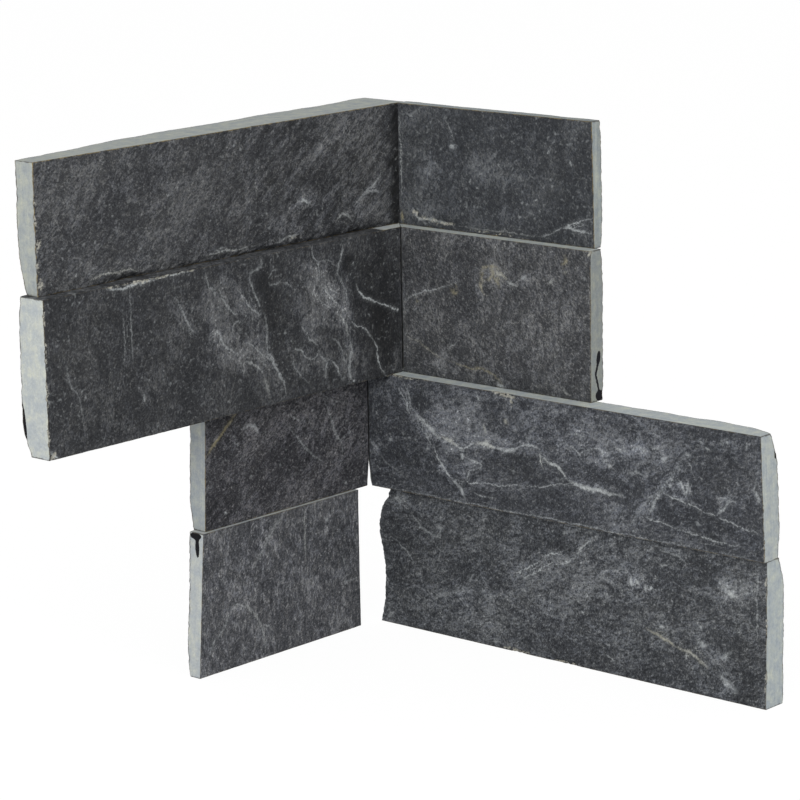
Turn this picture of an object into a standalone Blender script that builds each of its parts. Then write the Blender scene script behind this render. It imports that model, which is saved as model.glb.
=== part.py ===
"""Stone cladding corner piece: slate strips bonded in four rows round an inside corner.

Each row has one strip on the left wing, which runs along +X, and one on the right wing,
which runs along +Y. The flat faces look into the corner and the split faces look out of it.
Plan distances are measured from two outer datum planes, one behind each wing, and heights
from the bottom bed. The finished piece is then centred on the origin in plan.
"""
import math
from dataclasses import dataclass

import bmesh
import bpy
from mathutils import Vector, noise

MM = 0.001
PIECE = "stone_cladding_corner"

# Bonded joints: the room left for adhesive between two stones
JOINT = 0.3 * MM

# Heights of the rows, row 1 at the top
ROW_1_HEIGHT = 41.1 * MM
ROW_2_HEIGHT = 49.7 * MM
ROW_3_HEIGHT = 40.1 * MM
ROW_4_HEIGHT = 48.2 * MM

# Left wing: reach is from the right wing's datum to the free end, lean is how much longer
# the strip is at its bottom than at its top, setback is from the left datum to the back,
# and a chip is the depth lost from the split face's corner at the free end, top or foot
LEFT_1_REACH = 170.5 * MM
LEFT_1_THICKNESS = 16.8 * MM
LEFT_1_END_THICKNESS = 7.3 * MM
LEFT_1_TAPER = 74.0 * MM
LEFT_1_FOOT_CHIP = 1.4 * MM

LEFT_2_REACH = 172.5 * MM
LEFT_2_SETBACK = 5.9 * MM
LEFT_2_THICKNESS = 15.4 * MM
LEFT_2_END_THICKNESS = 11.6 * MM
LEFT_2_TAPER = 34.0 * MM
LEFT_2_TOP_CHIP = 0.9 * MM
LEFT_2_FOOT_CHIP = 2.6 * MM

LEFT_3_REACH = 94.7 * MM
LEFT_3_LEAN = 1.6 * MM
LEFT_3_SETBACK = 1.4 * MM
LEFT_3_THICKNESS = 8.5 * MM
LEFT_3_END_THICKNESS = 7.3 * MM
LEFT_3_TAPER = 16.0 * MM
LEFT_3_FOOT_CHIP = 1.2 * MM

LEFT_4_REACH = 99.5 * MM
LEFT_4_LEAN = 3.6 * MM
LEFT_4_SETBACK = 3.4 * MM
LEFT_4_THICKNESS = 7.8 * MM
LEFT_4_END_THICKNESS = 6.2 * MM
LEFT_4_TAPER = 18.0 * MM
LEFT_4_FOOT_CHIP = 1.1 * MM

# Right wing: the same sizes, with the two datums in each other's place
RIGHT_1_REACH = 100.4 * MM
RIGHT_1_LEAN = 0.9 * MM
RIGHT_1_THICKNESS = 5.4 * MM
RIGHT_1_END_THICKNESS = 4.7 * MM
RIGHT_1_TAPER = 14.0 * MM
RIGHT_1_FOOT_CHIP = 0.8 * MM

RIGHT_2_REACH = 102.6 * MM
RIGHT_2_SETBACK = 1.7 * MM
RIGHT_2_THICKNESS = 8.0 * MM
RIGHT_2_END_THICKNESS = 6.5 * MM
RIGHT_2_TAPER = 18.0 * MM
RIGHT_2_TOP_CHIP = 0.5 * MM

RIGHT_3_REACH = 174.7 * MM
RIGHT_3_LEAN = 1.7 * MM
RIGHT_3_SETBACK = 5.3 * MM
RIGHT_3_THICKNESS = 10.0 * MM
RIGHT_3_END_THICKNESS = 8.8 * MM
RIGHT_3_TAPER = 20.0 * MM
RIGHT_3_TOP_CHIP = 3.6 * MM
RIGHT_3_FOOT_CHIP = 1.3 * MM

RIGHT_4_REACH = 175.2 * MM
RIGHT_4_SETBACK = 3.8 * MM
RIGHT_4_THICKNESS = 9.7 * MM
RIGHT_4_END_THICKNESS = 9.5 * MM
RIGHT_4_TAPER = 20.0 * MM
RIGHT_4_TOP_CHIP = 2.7 * MM

# Row 1 is butt jointed: its left strip stops just inside the right wing's datum
ROW_1_BUTT_INSET = 1.9 * MM

# Row 3's mitre has worn open at its foot
SLIT_HEIGHT = 6.6 * MM
SLIT_OPENING = 0.95 * MM

# Row 4 is open at the corner: its left strip stops short, and its right strip is broken
OPEN_CORNER = 9.1 * MM
BROKEN_END_CLEARANCE = 1.2 * MM
# Height as a share of the row, and what is missing there from the right strip's end
BROKEN_END = (
    (0.00, 0.2 * MM),
    (0.16, 2.1 * MM),
    (0.40, 2.7 * MM),
    (0.53, 1.6 * MM),
    (0.66, 0.0 * MM),
    (0.77, 0.1 * MM),
    (0.88, 2.1 * MM),
    (0.92, 4.2 * MM),
    (1.00, 5.3 * MM),
)
BROKEN_FACE_SLOPE = 0.35
BROKEN_FACE_ROUGHNESS = 0.9 * MM
BROKEN_FACE_GRAIN = 4.5 * MM

# The lower arris of the top left strip has spalled away over most of its length
SPALL_DEPTH = 2.6 * MM
SPALL_CLEAR_OF_END = 24.0 * MM
SPALL_WAVE = 17.0 * MM

# Split faces: cleavage terraces with finer waves on them, rolled over at the beds
RELIEF_SHARE = 0.13
TERRACE_LENGTH = 34.0 * MM
TERRACE_HEIGHT = 19.0 * MM
TERRACE_STEPS = 3
RIPPLE_LENGTH = 9.0 * MM
BROAD_SHARE, TERRACE_SHARE, RIPPLE_SHARE = 0.45, 0.35, 0.45
# How much of the relief and the bed roll is held back at a free end
END_HOLD = 0.6
BED_ROLL = 1.3 * MM
BED_ROLL_HEIGHT = 4.5 * MM

# Chips out of the split face's corners at the free ends
CHIP_HEIGHT = 9.0 * MM
CHIP_LENGTH = 11.0 * MM

# Lattice spacing of the stone surfaces
CELL = 3.4 * MM
LAYERS = 3
END_CROWDING = 0.55
FLAT_ANGLE = math.radians(0.05)


@dataclass
class Strip:
    """One slate strip, as laid: which wing and row, its sizes and how its corner end is cut."""

    name: str
    run_sign: int
    low: float
    height: float
    start: float
    reach: float
    setback: float
    thickness: float
    end_thickness: float
    taper: float
    seed: float
    color: tuple
    lean: float = 0.0
    top_chip: float = 0.0
    foot_chip: float = 0.0
    mitre_depth: float = 0.0
    slit: bool = False
    broken: bool = False
    spalled: bool = False

    @property
    def inner(self):
        """Distance of the flat inner face from the wing's own datum."""
        return self.setback + self.thickness


def smooth_share(share):
    """Spreads equal shares from 0 to 1 so that they crowd towards both ends."""
    return share - END_CROWDING * math.sin(math.tau * share) / math.tau


def split_relief(run, up, seed):
    """Height of the split face, from about -1 to 1: stepped broad noise with ripples on it."""
    broad = noise.noise(Vector((run / TERRACE_LENGTH, up / TERRACE_HEIGHT, seed)))
    terrace = math.floor(broad * TERRACE_STEPS + 0.5) / TERRACE_STEPS
    ripple = noise.noise(Vector((run / RIPPLE_LENGTH, up / RIPPLE_LENGTH, seed + 7.3)))
    return BROAD_SHARE * broad + TERRACE_SHARE * terrace + RIPPLE_SHARE * ripple


def chip_at(strip, from_end, up):
    """Depth lost at the free end, fading along the run and away from the chipped corner."""
    along = max(0.0, 1.0 - from_end / CHIP_LENGTH)
    top = max(0.0, 1.0 - (strip.height - up) / CHIP_HEIGHT)
    foot = max(0.0, 1.0 - up / CHIP_HEIGHT)
    return along * (strip.top_chip * top + strip.foot_chip * foot)


def thickness_at(strip, run, up):
    """Full depth of the strip at a place: its body, its rolls and chips, and the relief."""
    from_end = max(0.0, strip.reach - run)
    end_share = max(0.0, 1.0 - from_end / strip.taper) ** 2
    depth = strip.thickness - (strip.thickness - strip.end_thickness) * end_share
    from_bed = min(up, strip.height - up)
    bed_share = max(0.0, 1.0 - from_bed / BED_ROLL_HEIGHT)
    bed_noise = 0.6 + 0.8 * noise.noise(Vector((run / RIPPLE_LENGTH, strip.seed, up)))
    relief = strip.thickness * RELIEF_SHARE * split_relief(run, up, strip.seed)
    lost = BED_ROLL * bed_share * bed_noise * (1.0 - END_HOLD * end_share)
    lost += chip_at(strip, from_end, up)
    return depth - lost + relief * (1.0 - END_HOLD * end_share)


def broken_setback(strip, depth, up):
    """What is missing from the broken end at a height: the outline's points, then roughness."""
    share = up / strip.height
    missing = BROKEN_END[-1][1]
    for (low_share, low_cut), (high_share, high_cut) in zip(BROKEN_END, BROKEN_END[1:]):
        if low_share <= share <= high_share:
            blend = (share - low_share) / (high_share - low_share)
            missing = low_cut + (high_cut - low_cut) * blend
            break
    rough = noise.noise(Vector((depth / BROKEN_FACE_GRAIN, up / BROKEN_FACE_GRAIN, strip.seed)))
    roughness = BROKEN_FACE_ROUGHNESS * depth / strip.thickness
    return missing + depth * BROKEN_FACE_SLOPE + roughness * rough


def corner_shift(strip, depth, up):
    """How far the corner end moves along the run from the strip's start, at a depth and height."""
    shift = -min(depth, strip.mitre_depth)
    if strip.slit:
        shift += SLIT_OPENING * max(0.0, 1.0 - up / SLIT_HEIGHT) ** 0.6
    if strip.broken:
        shift += broken_setback(strip, depth, up)
    return shift


def spall_at(strip, run):
    """Depth lost from the lower inner arris at a place along the run."""
    ends = min(run - strip.start, strip.reach - SPALL_CLEAR_OF_END - run)
    fade = min(1.0, max(0.0, ends / SPALL_WAVE))
    wave = 0.65 + 0.55 * noise.noise(Vector((run / SPALL_WAVE, strip.seed, 0.0)))
    return SPALL_DEPTH * fade * wave


def place(strip, along, inward, upward):
    """Turns lattice shares along the run, into the stone and up it into a point of the strip."""
    up = strip.height * smooth_share(upward)
    end = strip.reach + strip.lean * (0.5 - up / strip.height)
    run = strip.start + (end - strip.start) * smooth_share(along)
    depth = inward * thickness_at(strip, run, up)
    if strip.spalled and inward == 0.0 and upward == 0.0:
        depth = spall_at(strip, run)
    run += corner_shift(strip, depth, up) * (1.0 - smooth_share(along)) ** 3
    return Vector((strip.run_sign * run, -depth, up))


def cut_lattice(mesh, axis, cuts):
    """Divides every edge that runs along an axis into equal lengths."""
    edges = [
        edge for edge in mesh.edges
        if abs((edge.verts[1].co - edge.verts[0].co).normalized()[axis]) > 0.9
    ]
    bmesh.ops.subdivide_edges(mesh, edges=edges, cuts=cuts, use_grid_fill=True)


def slate(strip):
    """Dark riven slate, a little different in tone from strip to strip."""
    material = bpy.data.materials.new(strip.name + "_slate")
    material.use_nodes = True
    shader = material.node_tree.nodes["Principled BSDF"]
    shader.inputs["Base Color"].default_value = (*strip.color, 1.0)
    shader.inputs["Roughness"].default_value = 0.82
    shader.inputs["Metallic"].default_value = 0.0
    return material


def make_strip(strip, wing, collection):
    """Builds one strip from a cube cut into a lattice whose points are moved into place."""
    mesh = bmesh.new()
    bmesh.ops.create_cube(mesh, size=1.0)
    cut_lattice(mesh, 0, round((strip.reach - strip.start) / CELL))
    cut_lattice(mesh, 1, LAYERS - 1)
    cut_lattice(mesh, 2, round(strip.height / CELL))
    for vertex in mesh.verts:
        along = 0.5 + strip.run_sign * vertex.co.x
        vertex.co = place(strip, along, 0.5 - vertex.co.y, 0.5 + vertex.co.z)
    bmesh.ops.dissolve_limit(
        mesh, angle_limit=FLAT_ANGLE, verts=mesh.verts, edges=mesh.edges, delimit={"NORMAL"}
    )
    data = bpy.data.meshes.new(strip.name)
    mesh.to_mesh(data)
    mesh.free()
    data.materials.append(slate(strip))
    stone = bpy.data.objects.new(strip.name, data)
    stone.location = (0.0, strip.inner, strip.low)
    stone.parent = wing
    collection.objects.link(stone)
    return stone


def make_frame(name, parent, collection):
    """An empty that carries a wing or the whole piece."""
    frame = bpy.data.objects.new(name, None)
    frame.empty_display_size = 0.02
    frame.parent = parent
    collection.objects.link(frame)
    return frame


def lay_out():
    """Works out all strips, row by row from the bottom bed up."""
    row_4_low = 0.0
    row_3_low = row_4_low + ROW_4_HEIGHT + JOINT
    row_2_low = row_3_low + ROW_3_HEIGHT + JOINT
    row_1_low = row_2_low + ROW_2_HEIGHT + JOINT

    left_1_inner = LEFT_1_THICKNESS
    left_2_inner = LEFT_2_SETBACK + LEFT_2_THICKNESS
    left_3_inner = LEFT_3_SETBACK + LEFT_3_THICKNESS
    left_4_inner = LEFT_4_SETBACK + LEFT_4_THICKNESS
    right_2_inner = RIGHT_2_SETBACK + RIGHT_2_THICKNESS
    right_3_inner = RIGHT_3_SETBACK + RIGHT_3_THICKNESS
    right_4_inner = RIGHT_4_SETBACK + RIGHT_4_THICKNESS
    # Two 45 degree faces stand a joint apart when each is drawn back by this much
    mitre_gap = JOINT / math.sqrt(2.0)

    left = [
        Strip("left_wing_row_1", 1, row_1_low, ROW_1_HEIGHT, ROW_1_BUTT_INSET, LEFT_1_REACH,
              0.0, LEFT_1_THICKNESS, LEFT_1_END_THICKNESS, LEFT_1_TAPER,
              seed=1.7, color=(0.058, 0.059, 0.060), foot_chip=LEFT_1_FOOT_CHIP,
              spalled=True),
        Strip("left_wing_row_2", 1, row_2_low, ROW_2_HEIGHT, right_2_inner + mitre_gap,
              LEFT_2_REACH, LEFT_2_SETBACK, LEFT_2_THICKNESS, LEFT_2_END_THICKNESS,
              LEFT_2_TAPER, seed=4.2, color=(0.044, 0.044, 0.046),
              top_chip=LEFT_2_TOP_CHIP, foot_chip=LEFT_2_FOOT_CHIP,
              mitre_depth=RIGHT_2_THICKNESS),
        Strip("left_wing_row_3", 1, row_3_low, ROW_3_HEIGHT, right_3_inner + mitre_gap,
              LEFT_3_REACH, LEFT_3_SETBACK, LEFT_3_THICKNESS, LEFT_3_END_THICKNESS,
              LEFT_3_TAPER, seed=8.9, color=(0.046, 0.046, 0.048), lean=LEFT_3_LEAN,
              foot_chip=LEFT_3_FOOT_CHIP, mitre_depth=RIGHT_3_THICKNESS, slit=True),
        Strip("left_wing_row_4", 1, row_4_low, ROW_4_HEIGHT, right_4_inner + OPEN_CORNER,
              LEFT_4_REACH, LEFT_4_SETBACK, LEFT_4_THICKNESS, LEFT_4_END_THICKNESS,
              LEFT_4_TAPER, seed=12.4, color=(0.062, 0.062, 0.064), lean=LEFT_4_LEAN,
              foot_chip=LEFT_4_FOOT_CHIP),
    ]
    right = [
        Strip("right_wing_row_1", -1, row_1_low, ROW_1_HEIGHT, left_1_inner + JOINT,
              RIGHT_1_REACH, 0.0, RIGHT_1_THICKNESS, RIGHT_1_END_THICKNESS, RIGHT_1_TAPER,
              seed=17.1, color=(0.047, 0.047, 0.051), lean=RIGHT_1_LEAN,
              foot_chip=RIGHT_1_FOOT_CHIP),
        Strip("right_wing_row_2", -1, row_2_low, ROW_2_HEIGHT, left_2_inner + mitre_gap,
              RIGHT_2_REACH, RIGHT_2_SETBACK, RIGHT_2_THICKNESS, RIGHT_2_END_THICKNESS,
              RIGHT_2_TAPER, seed=21.6, color=(0.052, 0.052, 0.054),
              top_chip=RIGHT_2_TOP_CHIP, mitre_depth=LEFT_2_THICKNESS),
        Strip("right_wing_row_3", -1, row_3_low, ROW_3_HEIGHT, left_3_inner + mitre_gap,
              RIGHT_3_REACH, RIGHT_3_SETBACK, RIGHT_3_THICKNESS, RIGHT_3_END_THICKNESS,
              RIGHT_3_TAPER, seed=26.3, color=(0.056, 0.057, 0.060), lean=RIGHT_3_LEAN,
              top_chip=RIGHT_3_TOP_CHIP, foot_chip=RIGHT_3_FOOT_CHIP,
              mitre_depth=LEFT_3_THICKNESS, slit=True),
        Strip("right_wing_row_4", -1, row_4_low, ROW_4_HEIGHT,
              left_4_inner + BROKEN_END_CLEARANCE, RIGHT_4_REACH, RIGHT_4_SETBACK,
              RIGHT_4_THICKNESS, RIGHT_4_END_THICKNESS, RIGHT_4_TAPER, seed=31.8,
              color=(0.060, 0.062, 0.065), top_chip=RIGHT_4_TOP_CHIP, broken=True),
    ]
    return left, right


def centre_in_plan(piece, stones):
    """Moves the whole piece so that its box's bottom centre is the origin."""
    bpy.context.view_layer.update()
    points = [stone.matrix_world @ vertex.co for stone in stones for vertex in stone.data.vertices]
    for axis in (0, 1):
        values = [point[axis] for point in points]
        piece.location[axis] = -(min(values) + max(values)) / 2
    bpy.context.view_layer.update()


for old in list(bpy.data.objects):
    bpy.data.objects.remove(old, do_unlink=True)
parts = bpy.data.collections.new(PIECE)
bpy.context.scene.collection.children.link(parts)

piece_frame = make_frame("corner_piece_frame", None, parts)
left_frame = make_frame("left_wing_frame", piece_frame, parts)
right_frame = make_frame("right_wing_frame", piece_frame, parts)
right_frame.rotation_euler.z = -math.pi / 2

left_strips, right_strips = lay_out()
laid = [make_strip(strip, left_frame, parts) for strip in left_strips]
laid += [make_strip(strip, right_frame, parts) for strip in right_strips]
centre_in_plan(piece_frame, laid)
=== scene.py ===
import math

import bpy
import numpy as np
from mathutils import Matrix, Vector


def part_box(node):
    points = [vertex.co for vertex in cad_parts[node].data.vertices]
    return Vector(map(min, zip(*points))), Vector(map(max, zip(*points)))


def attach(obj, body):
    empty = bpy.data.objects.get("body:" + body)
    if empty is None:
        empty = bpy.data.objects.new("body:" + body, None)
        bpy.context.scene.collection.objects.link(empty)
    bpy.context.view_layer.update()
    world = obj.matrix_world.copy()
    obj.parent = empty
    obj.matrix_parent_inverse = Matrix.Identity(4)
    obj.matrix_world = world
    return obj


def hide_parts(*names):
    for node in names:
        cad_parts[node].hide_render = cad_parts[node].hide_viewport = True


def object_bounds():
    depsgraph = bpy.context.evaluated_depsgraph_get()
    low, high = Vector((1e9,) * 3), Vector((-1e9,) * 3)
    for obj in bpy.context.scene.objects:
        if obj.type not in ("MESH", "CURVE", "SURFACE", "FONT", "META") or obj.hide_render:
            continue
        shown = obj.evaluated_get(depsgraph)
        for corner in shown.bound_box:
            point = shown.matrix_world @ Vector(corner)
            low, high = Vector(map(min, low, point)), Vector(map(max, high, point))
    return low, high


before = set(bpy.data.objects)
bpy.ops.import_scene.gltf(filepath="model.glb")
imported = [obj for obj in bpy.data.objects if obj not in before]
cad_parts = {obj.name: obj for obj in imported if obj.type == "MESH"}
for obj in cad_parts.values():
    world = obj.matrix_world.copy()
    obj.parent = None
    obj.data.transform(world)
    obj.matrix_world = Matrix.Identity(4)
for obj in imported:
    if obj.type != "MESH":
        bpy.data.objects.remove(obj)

cad_low, cad_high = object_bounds()
MM = 0.001


# Left wing, row 1: the long top strip, sawn from thick slate and split on its outer side. Its lower
# inner arris has spalled away in scallops over most of its length. It is butted by the right wing's
# strip and bonded with resin. Fibres run up it on a slant, stronger towards the corner.

CELL = 0.6 * MM
EDGE_STEPS = np.array([0.0, 0.12, 0.27, 0.46, 0.7, 1.0]) * MM
BEDDING = 0.13 * MM             # how far a bonded bed or corner end runs on into its joint
STAND_OFF = 5 * MM              # where points start before they slide on to the solid
INLAND = 14 * MM                # a place along the strip that is clear of its mitre
END_DEPTH = 1.5 * MM            # the depth at which the free end is met
CORNER_PROBES = 10
PROBED_SHARE = 0.8              # how much of the thickness the corner's probes span
SPLIT_SHARE = 0.97              # where the split face begins, as a share of the thickness
# How far inside a solid's beds, its free end and the corner end of its two faces the points keep
BED_INSET, END_INSET, WALL_INSET, SPLIT_INSET = 0.02 * MM, 0.03 * MM, 0.05 * MM, 0.2 * MM
CALM_WIDTH = 2.5 * MM           # beside an arris, where the grain of the wall face dies away
ROUNDED_WIDTH = 0.9 * MM        # beside an arris, where the split face falls off
FLAKE_DEPTH = 0.45 * MM
CHIP_DEPTH = 0.55 * MM


def crowded(length):
    """Shares from 0 to 1 along a length: fine steps of their own beside each end, equal cells between."""
    count = max(2, round((length - 2 * EDGE_STEPS[-1]) / CELL))
    middle = np.linspace(EDGE_STEPS[-1], length - EDGE_STEPS[-1], count + 1)[1:-1]
    return np.concatenate([EDGE_STEPS, middle, length - EDGE_STEPS[::-1]]) / length


def grain(across, along, seed):
    """Smooth random height, about -1 to 1: the four corners of each unit square pull with a slope of
    their own, turned by a sine hash of the corner's numbers, and a fifth-power ease blends them."""
    left, low = np.floor(across), np.floor(along)
    x, y = across - left, along - low
    ease_x = x ** 3 * (x * (6 * x - 15) + 10)
    ease_y = y ** 3 * (y * (6 * y - 15) + 10)

    def pull(dx, dy):
        turn = np.sin((left + dx) * 127.1 + (low + dy) * 311.7 + seed * 74.7) * 43758.5453
        angle = math.tau * (turn - np.floor(turn))
        return np.cos(angle) * (x - dx) + np.sin(angle) * (y - dy)

    bottom = pull(0, 0) * (1 - ease_x) + pull(1, 0) * ease_x
    top = pull(0, 1) * (1 - ease_x) + pull(1, 1) * ease_x
    return 1.6 * (bottom * (1 - ease_y) + top * ease_y)


def cast(node, points, axis, sign):
    """Where points meet a solid as they slide along one axis: a Shrinkwrap projection that is read
    back from the evaluated mesh. A point that meets nothing comes back as not a number."""
    mesh = bpy.data.meshes.new("probe")
    mesh.from_pydata(points.reshape(-1, 3), [], [])
    probe = bpy.data.objects.new("probe", mesh)
    bpy.context.scene.collection.objects.link(probe)
    slide = probe.modifiers.new("slide", "SHRINKWRAP")
    slide.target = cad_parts[node]
    slide.wrap_method = "PROJECT"
    slide.use_project_x, slide.use_project_y, slide.use_project_z = (axis == n for n in range(3))
    slide.use_positive_direction = sign > 0
    slide.use_negative_direction = sign < 0
    landed = probe.evaluated_get(bpy.context.evaluated_depsgraph_get()).data
    met = np.empty(points.size)
    landed.vertices.foreach_get("co", met)
    bpy.data.objects.remove(probe)
    bpy.data.meshes.remove(mesh)
    met = met.reshape(points.shape)[..., axis]
    return np.where(np.abs(met - points[..., axis]) < 1e-7, np.nan, met)


def filled(heights):
    """Fills the gaps of a table from the next value along its first axis, first one way, then the other."""
    for step in (-1, 1):
        for _ in range(6):
            hole = np.isnan(heights)
            heights[hole] = np.roll(heights, step, axis=0)[hole]
    return heights


def softened(heights, rounds):
    """Averages each inner value of a table with its neighbours, a number of times, both ways."""
    for _ in range(rounds):
        heights[1:-1] = (heights[:-2] + 2 * heights[1:-1] + heights[2:]) / 4
        heights[:, 1:-1] = (heights[:, :-2] + 2 * heights[:, 1:-1] + heights[:, 2:]) / 4
    return heights


def skin(cells):
    """The skin of a block of cells along run, depth and up: six grids whose shared edges have shared
    points. Gives each point's place in the block, and the quads."""
    sides = []
    for axis in range(3):
        first, second = [n for n in range(3) if n != axis]
        a, b = np.meshgrid(np.arange(cells[first]), np.arange(cells[second]), indexing="ij")
        for level in (0, cells[axis]):
            corners = np.zeros((a.size, 4, 3), int)
            corners[..., axis] = level
            corners[..., first] = a.reshape(-1, 1) + np.array([0, 1, 1, 0])
            corners[..., second] = b.reshape(-1, 1) + np.array([0, 0, 1, 1])
            # Every second grid is turned over, so that all six look outwards
            turned = (level == 0) != (axis == 1)
            sides.append(corners[:, ::-1] if turned else corners)
    corners = np.concatenate(sides)
    code = (corners[..., 0] * (cells[1] + 1) + corners[..., 1]) * (cells[2] + 1) + corners[..., 2]
    points, quads = np.unique(code, return_inverse=True)
    places = (points // ((cells[1] + 1) * (cells[2] + 1)), points // (cells[2] + 1) % (cells[1] + 1),
              points % (cells[2] + 1))
    return places, quads.reshape(-1, 4)


PIECE_SAMPLES = 14
VEIN_STEP = 0.35                # the furthest that samples of a vein lie apart, in millimetres
VEIN_REACH = 8                  # how far from a vein a point may still take its look, in millimetres
NO_VEIN = 99.0                  # the distance that stands for no vein at all


def flow(points):
    """A smooth curve through points: cubic pieces whose slope at each point is that of the line
    between its neighbours. Returns samples, close enough together for an unbroken line, and how far
    along the curve each one is, from 0 to 1."""
    points = np.array(points, float)
    slopes = np.gradient(points, axis=0)
    length = np.linalg.norm(np.diff(points, axis=0), axis=1).sum()
    pieces = len(points) - 1
    along = np.linspace(0, pieces, max(PIECE_SAMPLES * pieces, math.ceil(length / VEIN_STEP)) + 1)
    piece = np.minimum(along.astype(int), len(points) - 2)
    t = (along - piece)[:, None]
    a, b, start, end = points[piece], points[piece + 1], slopes[piece], slopes[piece + 1]
    curve = (a * (2 * t ** 3 - 3 * t ** 2 + 1) + b * (3 * t ** 2 - 2 * t ** 3)
             + start * (t ** 3 - 2 * t ** 2 + t) + end * (t ** 3 - t ** 2))
    return curve, along / along[-1]


def veins_at(run, up, veins):
    """For each place on a face, the nearest vein: the way to it, its distance, and its half width,
    strength and warmth, which fade to the vein's two ends. All lengths are in millimetres."""
    way = np.full((len(run), 3), NO_VEIN)
    look = np.zeros((len(run), 3))
    for points, half_width, strength, warmth in veins:
        curve, share = flow(points)
        near = ((run > curve[:, 0].min() - VEIN_REACH) & (run < curve[:, 0].max() + VEIN_REACH)
                & (up > curve[:, 1].min() - VEIN_REACH) & (up < curve[:, 1].max() + VEIN_REACH))
        where = np.flatnonzero(near)
        gap = np.stack([run[where], up[where]], 1)[:, None] - curve[None]
        squares = (gap ** 2).sum(2)
        nearest = squares.argmin(1)
        rows = np.arange(len(where))
        distance = np.sqrt(squares[rows, nearest])
        # Its own width counts, so that a broad vein keeps its edge beside a thin one
        closer = distance - half_width < way[where, 2] - look[where, 0]
        where, nearest, rows = where[closer], nearest[closer], rows[closer]
        way[where, :2] = gap[rows, nearest]
        way[where, 2] = distance[closer]
        fade = np.sin(math.pi * np.clip(share[nearest], 0.04, 0.96)) ** 0.6
        look[where] = np.stack([half_width * (0.4 + 0.6 * fade), strength * fade,
                                np.full(len(where), warmth)], 1)
    return way, look


def ragged(across, up, seed, reach):
    """Moves places about by smooth noise of two sizes, so that soft shapes drawn there get torn edges."""
    def shift(tag):
        return reach * (grain(across / 5.1, up / 5.1, seed + tag)
                        + 0.45 * grain(across / 1.9, up / 1.9, seed + tag + 1))
    return across + shift(20), up + shift(30)


def patches_at(across, up, patches):
    """Sum of oval patches: each has a centre, two half widths, the slant of the first one in degrees,
    and a strength, and falls off like a bell curve with a flatter top and steeper sides."""
    total = np.zeros(np.shape(across))
    for centre_across, centre_up, half_first, half_second, slant, strength in patches:
        turn = math.radians(slant)
        dx, dy = across - centre_across, up - centre_up
        first = (dx * math.cos(turn) + dy * math.sin(turn)) / half_first
        second = (dy * math.cos(turn) - dx * math.sin(turn)) / half_second
        total += strength * np.exp(-(first ** 2 + second ** 2) ** 1.7)
    return total


NOT_SAWN = -2.0                 # millimetres inside a sawn face, of stone that is dark like the faces
NO_ARRIS = 9.0                  # millimetres from an arris, of stone that is on no sawn face
CORNER_TONE = 0.8               # how pale a corner end is beside the other sawn faces


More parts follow.
